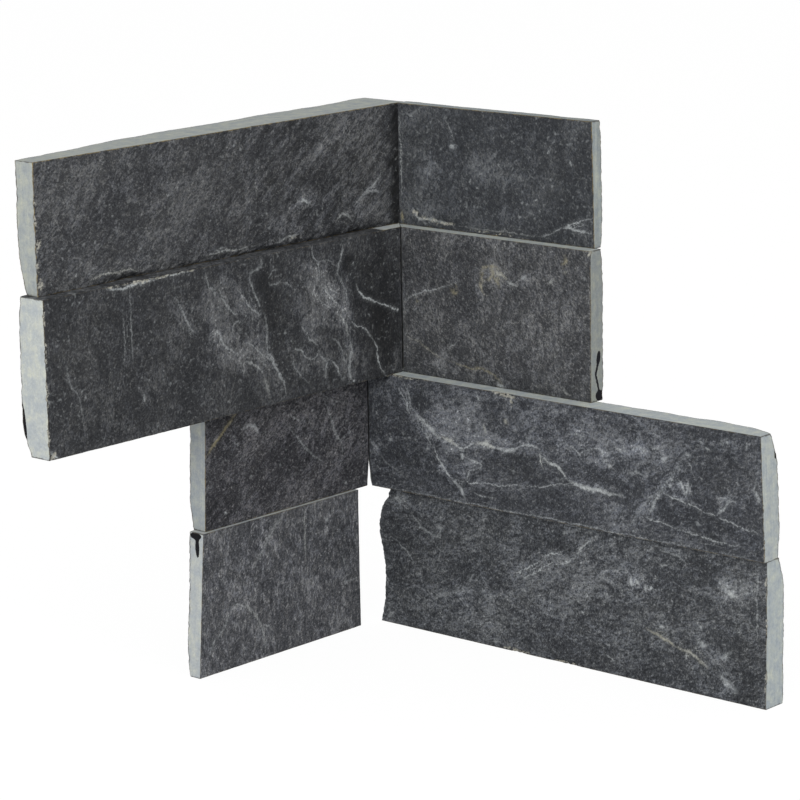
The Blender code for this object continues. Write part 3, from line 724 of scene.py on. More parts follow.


# Left wing, row 2: a dark slate strip, mitred and bonded so that it stands furthest into the corner.
# Its face carries curling smoke-like veins and one dense pale patch, and its sawn end is the
# brightest face of all. Its upper bed is a dark ledge that turns pale towards the corner.

LEFT_2_VEINS = (
    (((60, 137.8), (55, 137.2), (50, 137.6), (44, 137.8), (38, 138.2)), 0.5, 0.9, 0.0),
    (((38, 138.2), (30, 138.4), (24, 138.5)), 0.3, 0.8, 0.0),
    (((50, 138), (50.2, 125), (50, 113)), 0.3, 0.4, 0.0),
    (((53.5, 130), (53.2, 120), (54, 112)), 0.25, 0.35, 0.0),
    (((79.5, 122), (77, 112), (73, 105), (71, 93)), 0.3, 0.3, 0.0),
    (((30.5, 132), (28, 126), (25, 121), (22, 118)), 0.45, 0.42, 0.0),
    (((29, 127), (26, 122.5), (24, 117)), 0.35, 0.38, 0.0),
    (((17, 137), (15.5, 132), (12, 131)), 0.4, 0.42, 0.0),
    (((11, 131), (9, 126), (5, 122), (2.6, 121)), 0.4, 0.42, 0.0),
    (((6.2, 112.8), (5.2, 117.5), (3.1, 119), (0.5, 118)), 0.32, 0.42, 0.0),
    (((16, 116), (12, 117), (10, 113), (6.7, 110.2), (3.6, 108.6)), 0.5, 0.51, 0.0),
    (((-8.8, 138), (-8.3, 135.3), (-4.7, 134.3), (-2.1, 133.2)), 0.55, 0.38, 0.0),
    (((-2.6, 134), (-3.4, 129.5), (-5.7, 125.9), (-7.3, 122.7), (-8.3, 119.6)), 0.4, 0.51, 0.0),
    (((-7.8, 121), (-9.9, 117), (-10.3, 112.8), (-10.1, 109.6), (-10.4, 105.5)), 0.5, 0.38, 0.0),
    (((2.6, 129.5), (0, 125.9), (-2.6, 122.7), (-5.7, 120.1), (-7.3, 118.5)), 0.34, 0.59, 0.0),
    (((1, 111), (-2.1, 110.7), (-4.7, 109.1), (-7.3, 106.5), (-9.9, 104.9)), 0.4, 0.42, 0.0),
    (((-8.6, 105.8), (-12, 102.8), (-14, 100.7), (-16.1, 97.6), (-17.7, 95),
      (-18.7, 90.8)), 0.6, 0.64, 0.0),
    (((-9.4, 106.4), (-12.4, 104.2), (-15, 100.6)), 0.3, 0.51, 0.0),
    (((1.5, 104.4), (-1.1, 105), (-3.7, 103.3), (-6.2, 102), (-8.3, 99.7),
      (-9.4, 96.6)), 0.4, 0.51, 0.1),
    (((-8.3, 99.7), (-9.4, 96.6), (-10.4, 93.4), (-11.4, 90.3)), 0.8, 0.38, 0.2),
    (((-11.4, 129.5), (-13.5, 128.5), (-16.6, 128.8), (-17.7, 128.5)), 0.35, 0.47, 0.0),
    (((-11.4, 130.6), (-13.5, 132.7), (-15.6, 133.2)), 0.4, 0.42, 0.0),
    (((-17.7, 128.5), (-20.8, 127.2), (-22.9, 125.4)), 0.3, 0.35, 0.0),
    (((-32.2, 138), (-33, 134.8), (-34.8, 132.7), (-35.6, 129), (-35.8, 125.9)), 0.34, 0.51, 0.0),
    (((-35.8, 126.4), (-38.4, 122.7), (-41.5, 119.6), (-43.6, 117.5), (-46.7, 114.9)), 0.3, 0.64, 0.0),
    (((-39.4, 124.8), (-42, 122.2), (-45.2, 120.6)), 0.26, 0.42, 0.0),
    (((-47, 138), (-47, 134.8), (-45.7, 131.1), (-44.6, 128), (-45.7, 125.4)), 0.5, 0.47, 0.0),
    (((-45.7, 125.4), (-47.8, 122.2), (-48.8, 119), (-49.8, 116)), 0.5, 0.38, 0.0),
    (((-34.8, 132.7), (-39.9, 132.7), (-44.6, 129)), 0.3, 0.35, 0.0),
    (((-34.8, 121.6), (-38.4, 117.4), (-43, 116.6)), 0.3, 0.4, 0.0),
    (((-43, 114.6), (-46, 112.6), (-47.8, 110.2), (-48.8, 106.5), (-50.4, 104.4)), 0.6, 0.51, 0.15),
    (((-50.2, 105.4), (-50.4, 100.7), (-49.8, 96.6), (-49.8, 92.4), (-50.9, 89.7)), 0.7, 0.51, 0.0),
    (((-26.5, 112.8), (-29.1, 109.6), (-30.1, 107.5), (-32.2, 106.5), (-34.8, 104.4)), 0.32, 0.47, 0.0),
    (((-21.8, 105.5), (-23.9, 104.9), (-26.5, 103.9), (-28.6, 101.8), (-31.7, 100.7)), 0.28, 0.59, 0.0),
    (((-28.6, 101.8), (-31.7, 100.7), (-33.7, 102.3), (-34.3, 103.9)), 0.26, 0.51, 0.0),
    (((-22.3, 104.4), (-22.6, 100.2), (-24.4, 97.6), (-27, 95), (-30.1, 92.4)), 0.26, 0.42, 0.0),
    (((-34.3, 103.3), (-36.3, 100.2), (-37.6, 99.7), (-37.9, 96.6), (-37.4, 91.3)), 0.34, 0.59, 0.0),
    (((-37.4, 99.9), (-40.5, 98.9), (-42.6, 97), (-44.1, 94.4), (-46.2, 90.3)), 0.34, 0.55, 0.0),
    (((-41, 106.4), (-44, 104.4), (-46, 101), (-47.4, 96)), 0.4, 0.4, 0.0),
    (((-53.7, 122.4), (-54.8, 119.6), (-57.6, 117.5), (-61.8, 115.7), (-65.9, 114.1),
      (-70, 112.3)), 0.38, 1.0, 0.0),
    (((-64, 114.8), (-68, 113.2), (-72, 111.5), (-74.2, 110.2)), 0.36, 1.1, 0.0),
    (((-50, 111.2), (-52.9, 108.6), (-56.1, 107.5), (-58.7, 105.4), (-61.8, 102.3)), 0.3, 0.77, 0.0),
    (((-60.4, 104), (-63.3, 99.2), (-63.8, 96), (-64.6, 92.9), (-67.4, 88.9)), 0.34, 1.0, 0.0),
    (((-73.8, 111), (-74.2, 110)), 0.7, 1.1, 0.0),
    (((-51.2, 90.2), (-51.8, 89.6)), 0.5, 1.1, 0.0),
    (((-67.3, 127.2), (-67.7, 127.6)), 0.5, 0.8, 0.0),
    (((-68.4, 134), (-68.6, 134.4)), 0.45, 0.6, 0.0),
    (((-52.2, 129.3), (-52.6, 129.7)), 0.5, 0.6, 0.0),
    (((86, 91.2), (84.4, 90.2), (82.6, 89)), 0.4, 0.95, 0.0),
    (((46, 103), (45.4, 100)), 0.4, 0.7, 0.0),
)
LEFT_2_SHEAVES = (
    (((9, 136), (3, 127), (-4, 119), (-8, 110), (-12, 101), (-18, 90)), 4.2, 0.6, 1.2),
    (((16, 117), (12, 111), (10, 104)), 3.4, 0.5, 1.1),
    (((-36, 138), (-37, 128), (-42, 121), (-48, 113), (-50.4, 103), (-50.4, 90)), 5.0, 0.7, 1.3),
    (((-25, 125), (-27, 118), (-32, 109), (-38, 104)), 4.2, 0.6, 1.1),
    (((-30, 94), (-36, 96), (-44, 96), (-48, 91)), 2.6, 0.35, 1.0),
    (((30, 131), (26, 124), (22, 118)), 2.0, 0.45, 1.0),
)
LEFT_2_PATCHES = (
    (27, 124, 6, 10, 60, 0.30),
    (9, 124, 9, 13, 10, 0.55),
    (8, 110, 9, 6, 0, 0.50),
    (-4, 106, 8, 7, 0, 0.60),
    (-13.5, 121, 5.5, 13, -6, -0.6),
    (-9, 130, 4.4, 4.0, 0, -0.35),
    (-24, 136.4, 4, 2.2, 0, 0.35),
    (-32, 132, 10, 6, 0, 0.55),
    (-37, 119, 13, 8, 28, 0.80),
    (-33, 111, 7, 5, 0, 0.45),
    (-48, 122, 3.5, 14, 0, 0.35),
    (-19.4, 108, 3.4, 1.7, 0, 0.7),
    (-58, 97.4, 2.4, 4.2, 0, 0.5),
    (-72.4, 94, 1.8, 3.8, 0, 0.8),
    (-34, 100, 10, 4, 0, 0.40),
    (-49, 97, 5, 8, 0, 0.35),
    (-40.2, 95, 1.9, 4.0, 8, -0.9),
    (-49.8, 130.8, 2.6, 2.6, 0, -1.1),
    (-64, 120, 12, 18, 0, -0.55),
    (-66, 100, 8, 13, 0, -0.7),
    (66, 120, 20, 20, 0, -0.12),
)
LEFT_2_CHIPS = (
    (56, 138.3, 5, 0.5, 0, 1.2),
    (46, 138.2, 5, 0.7, 0, 1.3),
    (36, 138.4, 6, 0.5, 0, 1.2),
    (25, 138.6, 6, 0.3, 0, 1.0),
    (86.2, 133, 0.5, 4.0, 0, 1.1),
    (86.2, 122, 0.6, 5.0, 0, 1.1),
    (86.2, 109, 0.5, 5.0, 0, 1.1),
    (86.2, 97, 0.6, 4.0, 0, 1.1),
    (84.6, 90.2, 2.4, 0.7, -30, 1.4),
)
finished("left_wing_row_2",
         lay_strip("left_wing_row_2", "left", 23.0, veins=LEFT_2_VEINS, sheaves=LEFT_2_SHEAVES,
                   patches=LEFT_2_PATCHES, chips=LEFT_2_CHIPS, blots=((11.1, 99, 7.5, 1.0, 84, 1.4),),
                   bed_tone=((-76, 1.0), (-70, 1.0), (-66, 0.5), (86, 0.5)), dark_bed_from=-68),
         slate("slate_left_2", tint(52, 53, 55), tint(181, 184, 181), 2.0, slant=95, stretch=1.3, fur=0.95,
               lace=0.12, salt=0.9, cloud=0.6, rim=0.3, bands=0.3))


# Left wing, row 3: a short slate strip, mitred and bonded well back under row 2. A golden vein
# crosses from its lower front edge to its top, and thin arcs sweep towards the corner.

LEFT_3_VEINS = (
    (((8.8, 72.6), (5, 76), (0, 80), (-5, 84), (-9, 88)), 0.75, 0.85, 1.0),
    (((-9, 79.8), (-13, 80), (-15.5, 79), (-17, 76.6)), 0.7, 0.7, 0.0),
    (((-30, 81), (-36, 78), (-40, 75.6)), 0.35, 0.35, 0.0),
    (((-29, 78), (-36, 71), (-43, 64), (-48, 61)), 0.35, 0.4, 0.0),
    (((-48, 84), (-52, 76), (-54, 70), (-57.5, 65), (-57, 60)), 0.6, 0.35, 0.0),
    (((-58, 51.6), (-59, 51)), 0.7, 0.7, 0.0),
    (((0.4, 53.4), (-0.4, 52.6)), 0.5, 0.9, 0.0),
    (((-46, 86), (-52, 82), (-60, 79)), 0.4, 0.25, 0.0),
)
LEFT_3_PATCHES = (
    (-14, 79, 6, 2.5, -10, 0.35),
    (-45, 78, 18, 9, 0, 0.25),
    (-56, 66, 6, 10, 20, 0.25),
    (-22, 66, 16, 8, 0, -0.25),
    (5, 54, 9, 6, 0, -0.35),
    # Painted shade: a dark band along the top of the face, under row 2's overhang.
    (-40, 88.5, 40, 3.0, 0, -0.30),
)
finished("left_wing_row_3",
         lay_strip("left_wing_row_3", "left", 37.0, veins=LEFT_3_VEINS, patches=LEFT_3_PATCHES,
                   end_tone=0.9, wear=0.15),
         slate("slate_left_3", tint(62, 62, 65), tint(162, 166, 166), 3.0, slant=-35, stretch=1.4, fur=1.3,
               lace=0.2, salt=0.6, rim=0.6))


# Left wing, row 4: the short bottom strip, slate that is cut square and bonded under row 3, short
# of the corner. It is a little lighter than row 3, with upright fibres, and a flake of black resin
# sits at the top of its sawn end.

LEFT_4_VEINS = (
    (((-36.5, 47.6), (-36.4, 38), (-36.8, 28)), 0.4, 0.5, 0.2),
    (((-1, 21.6), (-7, 19.6), (-12, 15), (-15, 9), (-16, 2)), 0.6, 0.5, 0.15),
    (((11, 7), (8, 11), (3, 15), (-1, 21)), 0.6, 0.3, 0.0),
    (((-11, 31.6), (-16, 37), (-22, 44), (-27, 47.6)), 0.8, 0.35, 0.1),
    (((-47, 41.2), (-48, 40.6)), 0.7, 1.0, 0.0),
    (((-16, 11), (-19, 9.6)), 0.6, 0.45, 0.0),
    (((-54, 15), (-57, 17), (-62, 17.6)), 0.5, 0.35, 0.0),
    (((-54, 28), (-56, 24), (-57, 21)), 0.3, 0.3, 0.0),
)
LEFT_4_PATCHES = (
    (-18, 42, 8, 5, 45, 0.30),
    (-6, 21, 6, 4, 0, 0.25),
    (-57, 14, 5, 4, 0, 0.30),
    (-59, 17, 3.0, 4, 0, -0.2),
    (-38, 12, 7, 14, 0, 0.12),
    (-30, 42, 6, 6, 0, -0.20),
)
finished("left_wing_row_4",
         lay_strip("left_wing_row_4", "left", 41.0, veins=LEFT_4_VEINS, patches=LEFT_4_PATCHES,
                   blots=((3.6, 47.2, 2.6, 1.1, 0, 1.3), (2.7, 43.6, 3.4, 0.9, 84, 1.4)),
                   end_tone=0.98, wear=0.15, bonded=False),
         slate("slate_left_4", tint(78, 79, 82), tint(176, 179, 178), 4.0, slant=92, stretch=1.8, fur=1.15,
               lace=0.1, salt=0.4, cloud=0.75, rim=0.3))


# Right wing, row 1: the thinnest slate strip, bonded into the corner against the left strip's face.
# White specks are spread over it, chips line its lower edge, and its sawn end shows the layers.

RIGHT_1_VEINS = (
    (((-63.6, 143.4), (-61, 141), (-56, 141.6), (-52, 141.4), (-46, 140.2)), 0.6, 1.0, 0.1),
    (((-42, 140.4), (-30, 140.3), (-20, 140.6), (-8, 140.6)), 0.3, 0.5, 0.1),
    (((-5.4, 141.2), (-1, 143.6), (3, 145.2), (8.6, 147.2), (13.2, 149)), 0.3, 0.8, 0.0),
    (((0, 144.4), (4, 144.4), (8, 143.9), (12.8, 143.8)), 0.6, 0.95, 0.0),
    (((-8, 140.2), (-4, 142)), 0.4, 0.7, 0.0),
    (((-38.4, 156), (-37.9, 156.3)), 0.55, 0.8, 0.0),
    (((-35.4, 154.2), (-35, 154.5)), 0.5, 0.7, 0.0),
    (((-26.2, 162.6), (-25.7, 163)), 0.6, 0.7, 0.0),
    (((-20.1, 161.8), (-19.6, 162.2)), 0.55, 0.8, 0.0),
    (((-24, 153.8), (-23.6, 154.2)), 0.5, 0.6, 0.0),
    (((-19.5, 157), (-19, 157.4)), 0.5, 0.7, 0.0),
    (((-10.6, 152.2), (-10.1, 152.7)), 0.6, 0.8, 0.0),
    (((-3.4, 157.5), (-2.9, 157.9)), 0.55, 0.7, 0.0),
    (((-11.2, 145.8), (-10.7, 146.2)), 0.5, 0.7, 0.0),
    (((-17.2, 146.1), (-16.7, 146.5)), 0.5, 0.6, 0.0),
    (((-47.4, 167.2), (-45, 166.8)), 0.8, 1.0, 0.0),
    (((-5.6, 168), (-4, 169.4)), 0.55, 0.8, 0.0),
    (((3.6, 167), (4.6, 165)), 0.4, 0.7, 0.0),
    (((-50, 177), (-47, 173), (-44.6, 169)), 0.4, 0.4, 0.0),
    (((-67, 177), (-64, 176), (-61, 178.6)), 0.5, 0.4, 0.0),
    (((-68.6, 139.4), (-69.0, 141.4), (-69.2, 143.4)), 0.9, 1.0, 0.9),
    (((-69.2, 146), (-69.0, 160), (-69.2, 177)), 0.25, 0.8, 0.1),
)
RIGHT_1_CHIPS = (
    (-63, 143.0, 1.6, 1.2, 0, 1.2),
    (-59.5, 141.4, 2.4, 0.9, 0, 1.2),
    (-54, 141.4, 3.4, 0.9, 0, 1.3),
    (-48, 140.5, 3.0, 0.7, 0, 1.2),
    (-30, 139.6, 12, 0.4, 0, 0.9),
)
RIGHT_1_PATCHES = (
    (-57, 159, 5, 4, 0, 0.55),
    (-60, 147, 9, 6, 0, 0.40),
    (-28, 160, 13, 5, 0, 0.35),
    (-46, 160, 14, 9, 0, 0.20),
    (-66, 176, 7, 4, 0, 0.25),
    (-22, 176, 8, 4, 0, 0.15),
    (4, 160, 10, 16, 0, -0.15),
    (-30, 145, 16, 4, 0, 0.18),
)
finished("right_wing_row_1",
         lay_strip("right_wing_row_1", "right", 53.0, veins=RIGHT_1_VEINS, patches=RIGHT_1_PATCHES,
                   chips=RIGHT_1_CHIPS, bed_tone=((-80, 0.95), (13, 0.75)), end_tone=0.86, wear=0.3),
         slate("slate_right_1", tint(60, 62, 65), tint(146, 151, 150), 5.0, slant=80, stretch=1.1, fur=0.75,
               lace=0.08, salt=1.2, cloud=0.7, rim=0.7, bands=1.0))


# Right wing, row 2: a short slate strip with finer grey speckle, mitred and bonded. It has a cream
# and ochre patch, a few ochre spots, one rounded upper corner, and black flakes along the outer
# edge of its end.

RIGHT_2_VEINS = (
    (((-66, 114), (-60, 116), (-55, 118), (-50, 119), (-40, 123)), 0.3, 0.6, 0.0),
    (((-65, 101.6), (-58, 99.6), (-52, 97), (-45, 95)), 0.3, 0.45, 0.6),
    (((-45, 95), (-38, 94), (-30, 94), (-25, 92.4), (-21, 90)), 0.5, 0.55, 0.9),
    (((-46, 98.4), (-43, 100.6), (-41, 102.6)), 0.4, 0.4, 0.0),
    (((-31, 127), (-28.4, 129.2), (-24.6, 129.4), (-22, 128.2)), 0.6, 0.8, 0.85),
    (((-27.4, 129.4), (-25.4, 127.8), (-26, 125.8), (-28.6, 124.4)), 0.8, 0.9, 0.9),
    (((-25, 128.6), (-22.8, 126.8), (-20.6, 126.6), (-19.2, 125)), 0.7, 1.0, 0.5),
    (((-26, 126), (-23.8, 124.8), (-22.8, 123)), 0.7, 0.8, 0.85),
    (((-29.6, 127.4), (-30.4, 125.4), (-29.4, 123.6)), 0.5, 0.7, 0.9),
    (((-31.2, 124), (-30.6, 121.8), (-29.4, 119.6)), 0.6, 0.75, 0.8),
    (((-19.4, 125.2), (-17.2, 124.4), (-14.6, 124)), 0.5, 0.9, 0.1),
    (((-43.8, 119.8), (-42.4, 118.6), (-41, 119.4)), 0.8, 0.8, 0.9),
    (((-41.6, 120.8), (-41.2, 121.4)), 0.5, 0.7, 0.9),
    (((-59.4, 113.6), (-58.6, 114)), 0.6, 0.75, 0.9),
    (((3.8, 133.2), (5.2, 134.2), (5, 136)), 0.9, 0.8, 0.9),
    (((4.6, 130), (6, 131)), 0.7, 0.5, 0.5),
    (((-1.6, 126.4), (0.6, 128)), 0.7, 0.8, 0.2),
    (((-13.6, 127), (-11, 127.6)), 0.8, 0.6, 0.0),
    (((-24, 89.6), (-21, 89.4)), 0.9, 0.8, 0.0),
    (((3, 93), (5, 91), (7, 90)), 0.5, 0.5, 0.2),
)
RIGHT_2_PATCHES = (
    (-26, 127, 5.4, 3.4, 25, 0.5),
    (-31, 122, 4, 3, 40, 0.35),
    (-50, 94.6, 4, 3, 0, 0.40),
    (-5, 112, 16, 14, 0, 0.15),
    (-12, 127, 5, 3, 0, 0.3),
    (-58, 132, 9, 7, 0, -0.12),
    (-30, 137.6, 22, 2.6, 0, 0.30),
)
RIGHT_2_CHIPS = (
    (15.8, 138.9, 2.4, 2.2, 0, 1.3),
)
RIGHT_2_BLOTS = (
    (4.0, 103.0, 2.3, 1.0, 80, 1.4),
    (3.1, 99.4, 2.4, 0.5, 72, 1.2),
    (3.4, 95.0, 3.4, 0.45, -74, 1.2),
    (4.5, 90.6, 2.0, 1.7, -15, 1.4),
)
finished("right_wing_row_2",
         lay_strip("right_wing_row_2", "right", 61.0, veins=RIGHT_2_VEINS, patches=RIGHT_2_PATCHES,
                   chips=RIGHT_2_CHIPS, blots=RIGHT_2_BLOTS, bed_tone=((-75, 1.5), (15, 1.35)),
                   end_tone=0.82, wear=0.3),
         slate("slate_right_2", tint(70, 71, 73), tint(144, 147, 143), 6.0, slant=100, stretch=1.1, fur=1.02,
               lace=0.1, salt=0.7, cloud=0.6, rim=0.3))


# Right wing, row 3: the long slate strip with the boldest figure, mitred and bonded. A pale cloud
# hangs from its upper edge, bounded below by a bright ragged line, thin cracks run out to the free
# end, and a band of veins falls from the corner to its lower edge.

RIGHT_3_VEINS = (
    (((-63.4, 85), (-61, 81.6), (-59.6, 79.8), (-59, 77.2), (-58, 75)), 0.4, 0.6, 0.0),
    (((-61.4, 87.6), (-59, 83.5), (-57.8, 79.8), (-56.7, 77.7), (-54.7, 75.7)), 0.45, 0.55, 0.0),
    (((-56, 76.8), (-52.6, 74.6), (-49.5, 72.5), (-46.4, 70.5), (-42.8, 69.4)), 0.9, 0.9, 0.05),
    (((-44.4, 70), (-42, 69.6), (-39.2, 68.9), (-36.6, 67.6)), 0.8, 1.2, 0.3),
    (((-38, 68), (-36.6, 67.3), (-33, 67.9), (-30.9, 69.4), (-28.4, 69.9)), 0.45, 0.9, 0.0),
    (((-29.6, 69.8), (-25.7, 70.5), (-22.1, 69.9), (-19, 69.6)), 0.8, 1.3, 0.25),
    (((-22, 69.9), (-16.4, 69.4), (-12.7, 69.9), (-10.7, 71.5)), 0.7, 0.85, 0.0),
    (((-11.6, 70.9), (-8.1, 72.5), (-4, 72.5), (-1.7, 71.8)), 0.45, 0.8, 0.0),
    (((-1.6, 72), (-1.2, 68.4), (-0.3, 65.3)), 0.3, 1.0, 0.2),
    (((-1, 70), (2.2, 67.9), (5.3, 67.3), (8.2, 65.3), (10, 63.6)), 0.55, 1.1, 0.05),
    (((10, 63.6), (16, 62), (24, 61.6), (33, 61.4)), 0.85, 1.15, 0.05),
    (((-56, 75), (-52.6, 71), (-49.5, 67.3), (-47, 64.4)), 0.24, 0.6, 0.0),
    (((-54.8, 75), (-51.4, 70.6), (-48.6, 67)), 0.2, 0.5, 0.0),
    (((-47.8, 66), (-46.4, 63.2), (-43.8, 60.6), (-40.7, 56.9), (-38.4, 55)), 0.42, 1.0, 0.0),
    (((-40, 56.4), (-36.6, 53.8), (-35, 52), (-33.6, 49.6)), 0.75, 0.75, 0.0),
    (((-39.2, 56.4), (-33, 55.9), (-26.8, 56.7), (-19.5, 56.9), (-11.3, 58),
      (-3.5, 58.8)), 0.24, 0.8, 0.0),
    (((-8, 58.4), (-3.5, 58.8), (3.2, 60.6), (8.2, 61.6), (12, 62)), 0.22, 0.7, 0.0),
    (((-30.9, 53.3), (-27.8, 52.5), (-25.2, 52), (-20.6, 52.5)), 0.26, 0.6, 0.0),
    (((-35.6, 64.9), (-34, 64.5)), 1.1, 0.9, 0.0),
    (((-34, 64.5), (-30.9, 64), (-27.8, 63.4), (-26.5, 62.4), (-28.8, 61.1)), 0.38, 0.7, 0.0),
    (((-28.8, 61.1), (-31.4, 60.3), (-32.7, 58), (-33.5, 56.4)), 0.34, 0.6, 0.0),
    (((-71.6, 71.6), (-71.2, 72)), 0.5, 1.0, 0.0),
    (((-68, 65.6), (-66.4, 66)), 0.6, 0.95, 0.0),
    (((-67.6, 67.6), (-67, 68.2)), 0.6, 0.5, 0.0),
    (((-55.9, 67.6), (-55.5, 67.8)), 0.5, 0.9, 0.0),
    (((-51, 65.2), (-50, 65.4)), 0.5, 0.7, 0.0),
    (((-42.4, 64.8), (-41.6, 65.2)), 0.55, 0.7, 0.0),
    (((-29, 88.4), (-27.8, 86.6), (-27.3, 85), (-29, 82)), 0.3, 0.55, 0.0),
    (((-13.6, 88), (-13.3, 86.6)), 0.4, 1.0, 0.0),
    (((-25.6, 77), (-25, 75.4), (-24, 73.6)), 0.8, 0.8, 0.3),
    (((-16.8, 79.8), (-15.2, 78.8)), 1.1, 0.9, 0.5),
    (((28, 78), (32, 76.4), (35, 76.8)), 0.5, 0.35, 0.1),
    (((58, 80.6), (54.6, 74), (49.4, 67), (43, 61.4), (38.6, 56), (35.6, 51.6)), 0.5, 0.35, 0.0),
    (((50, 66.4), (46.4, 62.6), (44.6, 59.4), (43.2, 56.6)), 0.5, 0.65, 0.0),
    (((45.6, 62), (45, 60.2), (44, 58)), 0.7, 0.7, 0.0),
    (((48.7, 65.3), (52.6, 64.2), (56.4, 63.4), (61.6, 62.2), (66.8, 60.8)), 0.26, 0.9, 0.0),
    (((64, 61.6), (70, 60.4), (77.6, 59), (87, 57.4)), 0.24, 0.8, 0.0),
    (((40.9, 56), (45, 55.4), (49.2, 54.9), (57.4, 53.6)), 0.26, 0.85, 0.0),
    (((53, 54.3), (62, 53.2), (69.3, 52.5), (81, 51.7)), 0.24, 0.75, 0.0),
    (((54.6, 70.4), (56.6, 68), (58, 65.4)), 0.45, 0.95, 0.0),
    (((58.6, 70), (58.6, 68), (58, 65.6)), 0.45, 0.85, 0.0),
    (((60.4, 69.4), (59.6, 67.4), (60.6, 65.6)), 0.4, 0.6, 0.0),
    (((52, 70.2), (53, 69.4)), 0.6, 0.9, 0.0),
    (((52.6, 68), (51.4, 67.2)), 0.5, 0.8, 0.0),
    (((54.6, 75.6), (55.6, 73.6), (55, 72)), 0.35, 0.6, 0.0),
    (((58.6, 76.6), (60, 75), (59.4, 73)), 0.35, 0.5, 0.0),
    (((57.4, 79), (60.6, 79.4)), 0.5, 0.5, 0.0),
    (((70, 60.8), (71.8, 62.4), (74, 64.7), (75.5, 68.4)), 0.5, 0.75, 0.0),
    (((75, 67.4), (72.6, 67.2), (70, 66.2)), 0.4, 0.5, 0.0),
    (((73.4, 64.8), (75.6, 66.4), (78, 66.2)), 0.35, 0.5, 0.0),
    (((86, 77), (84.6, 72), (84.4, 70.6)), 0.35, 0.5, 0.0),
    (((84.4, 71), (85.8, 69.2), (86.6, 67.2)), 0.7, 0.8, 0.0),
    (((63.2, 84.2), (64.4, 83.6)), 0.5, 0.7, 0.0),
    (((65.6, 82.2), (67.6, 81.6)), 0.5, 0.6, 0.0),
    (((71.6, 84), (72.8, 83.6)), 0.45, 0.6, 0.0),
    (((73.6, 85.2), (75, 84.6)), 0.55, 0.7, 0.0),
    (((81.4, 86), (81, 83.4)), 0.5, 0.45, 0.0),
    (((7, 75.2), (12, 74.6), (15, 73), (15.4, 71.4)), 0.4, 0.5, 0.0),
    (((15.4, 73.6), (19, 75), (23.4, 75.2), (27, 73)), 0.36, 0.5, 0.0),
    (((24, 70.4), (26, 71.6), (27.4, 70.2), (29.2, 71.4)), 0.5, 0.5, 0.1),
    (((35, 69.4), (38, 70.2), (41.6, 69.6)), 0.5, 0.5, 0.0),
    (((36.8, 77), (38.6, 78.4), (41, 77.8), (41.6, 76.2)), 0.45, 0.55, 0.0),
    (((42.6, 79.2), (45.6, 78.8), (48, 79.4)), 0.4, 0.4, 0.0),
    (((46.6, 76.8), (49, 76), (51.8, 77)), 0.5, 0.55, 0.0),
    (((9.8, 78.8), (13.4, 79.4), (16.2, 78.8), (16.9, 80.2)), 0.45, 0.5, 0.0),
    (((-60, 53), (-68, 57), (-74, 61.6)), 0.4, 0.25, 0.0),
    (((-73, 74), (-74, 75)), 0.5, 0.8, 0.0),
    (((-76, 48.9), (-30, 48.9), (30, 48.9), (88, 48.9)), 0.24, 0.5, 0.0),
)
RIGHT_3_CHIPS = (
    (-17, 88.3, 5, 1.0, 0, 1.6),
    (-13.3, 86.5, 0.7, 1.8, 0, 1.5),
    (-66, 88.5, 16, 0.6, 0, 1.1),
    (88.2, 80, 0.7, 5, 0, 1.0),
    (88.2, 66, 0.8, 4, 0, 1.1),
    (88.2, 54, 0.6, 4, 0, 1.0),
)
RIGHT_3_SHEAVES = (
    (((-63, 87), (-58, 77), (-50, 71.6), (-40, 69.4), (-28, 71), (-12, 71.6), (0, 73)), 3.6, 0.8, 1.0),
    (((-48, 66), (-43, 59), (-38, 54), (-34, 49)), 1.6, 0.5, 0.8),
    (((0, 78), (12, 74), (26, 75), (40, 77), (54, 79)), 5.0, 0.30, 1.4),
    (((58, 80), (54, 73), (48.6, 66.6), (42.4, 61), (35, 51)), 2.2, 0.55, 0.9),
    (((2, 69), (12, 64), (24, 63), (34, 62.6)), 1.6, 0.5, 0.9),
)
RIGHT_3_PATCHES = (
    (-39, 79, 12, 8, -12, 0.70),
    (-20, 79, 11, 9, 0, 0.35),
    (8, 80, 18, 8.5, 0, 0.42),
    (36, 78, 17, 10, 0, 0.38),
    (22, 71, 12, 5, 0, 0.15),
    (-68, 81, 7, 5, 0, 0.35),
    (-62, 66, 12, 9, 0, -0.30),
    (-64, 55, 12, 6, 0, -0.15),
    (-34, 62, 9, 4.5, -25, 0.40),
    (-12, 64.5, 12, 4.4, 0, -0.50),
    (22, 66, 9, 2.4, 0, -0.30),
    (-8, 52, 24, 4, 0, -0.15),
    (28, 54, 8, 5, 0, 0.40),
    (42, 55, 8, 4, 40, 0.20),
    (70, 77, 13, 11, 0, -0.30),
    (64, 56, 18, 5, -8, -0.28),
    (56, 66, 4.5, 3.6, 0, 0.55),
    (73, 66, 6, 3, 45, 0.35),
    (74, 84, 9, 3, 0, 0.35),
    (-53, 82, 4.5, 4.0, 0, -0.5),
    (-22, 83, 3.6, 2.6, 0, -0.6),
    (-44, 58, 2.6, 2.2, 0, 0.55),
    (-74, 62, 2.0, 3.4, -30, 0.7),
    (-50, 65.4, 4, 1.6, 0, 0.35),
)
finished("right_wing_row_3",
         lay_strip("right_wing_row_3", "right", 71.0, veins=RIGHT_3_VEINS, sheaves=RIGHT_3_SHEAVES,
                   patches=RIGHT_3_PATCHES, chips=RIGHT_3_CHIPS, blots=((8.2, 85, 4.6, 0.9, 80, 1.4),),
                   bed_tone=((-78, 1.2), (-40, 1.13), (88, 1.07)), end_tone=0.93, wear=0.1),
         slate("slate_right_3", tint(65, 67, 71), tint(164, 168, 166), 7.0, slant=20, stretch=1.4, fur=1.05,
               lace=0.2, salt=0.6, cloud=0.7, rim=0.4))


# Right wing, row 4: the long bottom strip of slate, bonded under row 3. Its corner end is a rough
# natural break, and its face is mottled all over, with pale veins on a slant and a tan one low down
# near the free end.

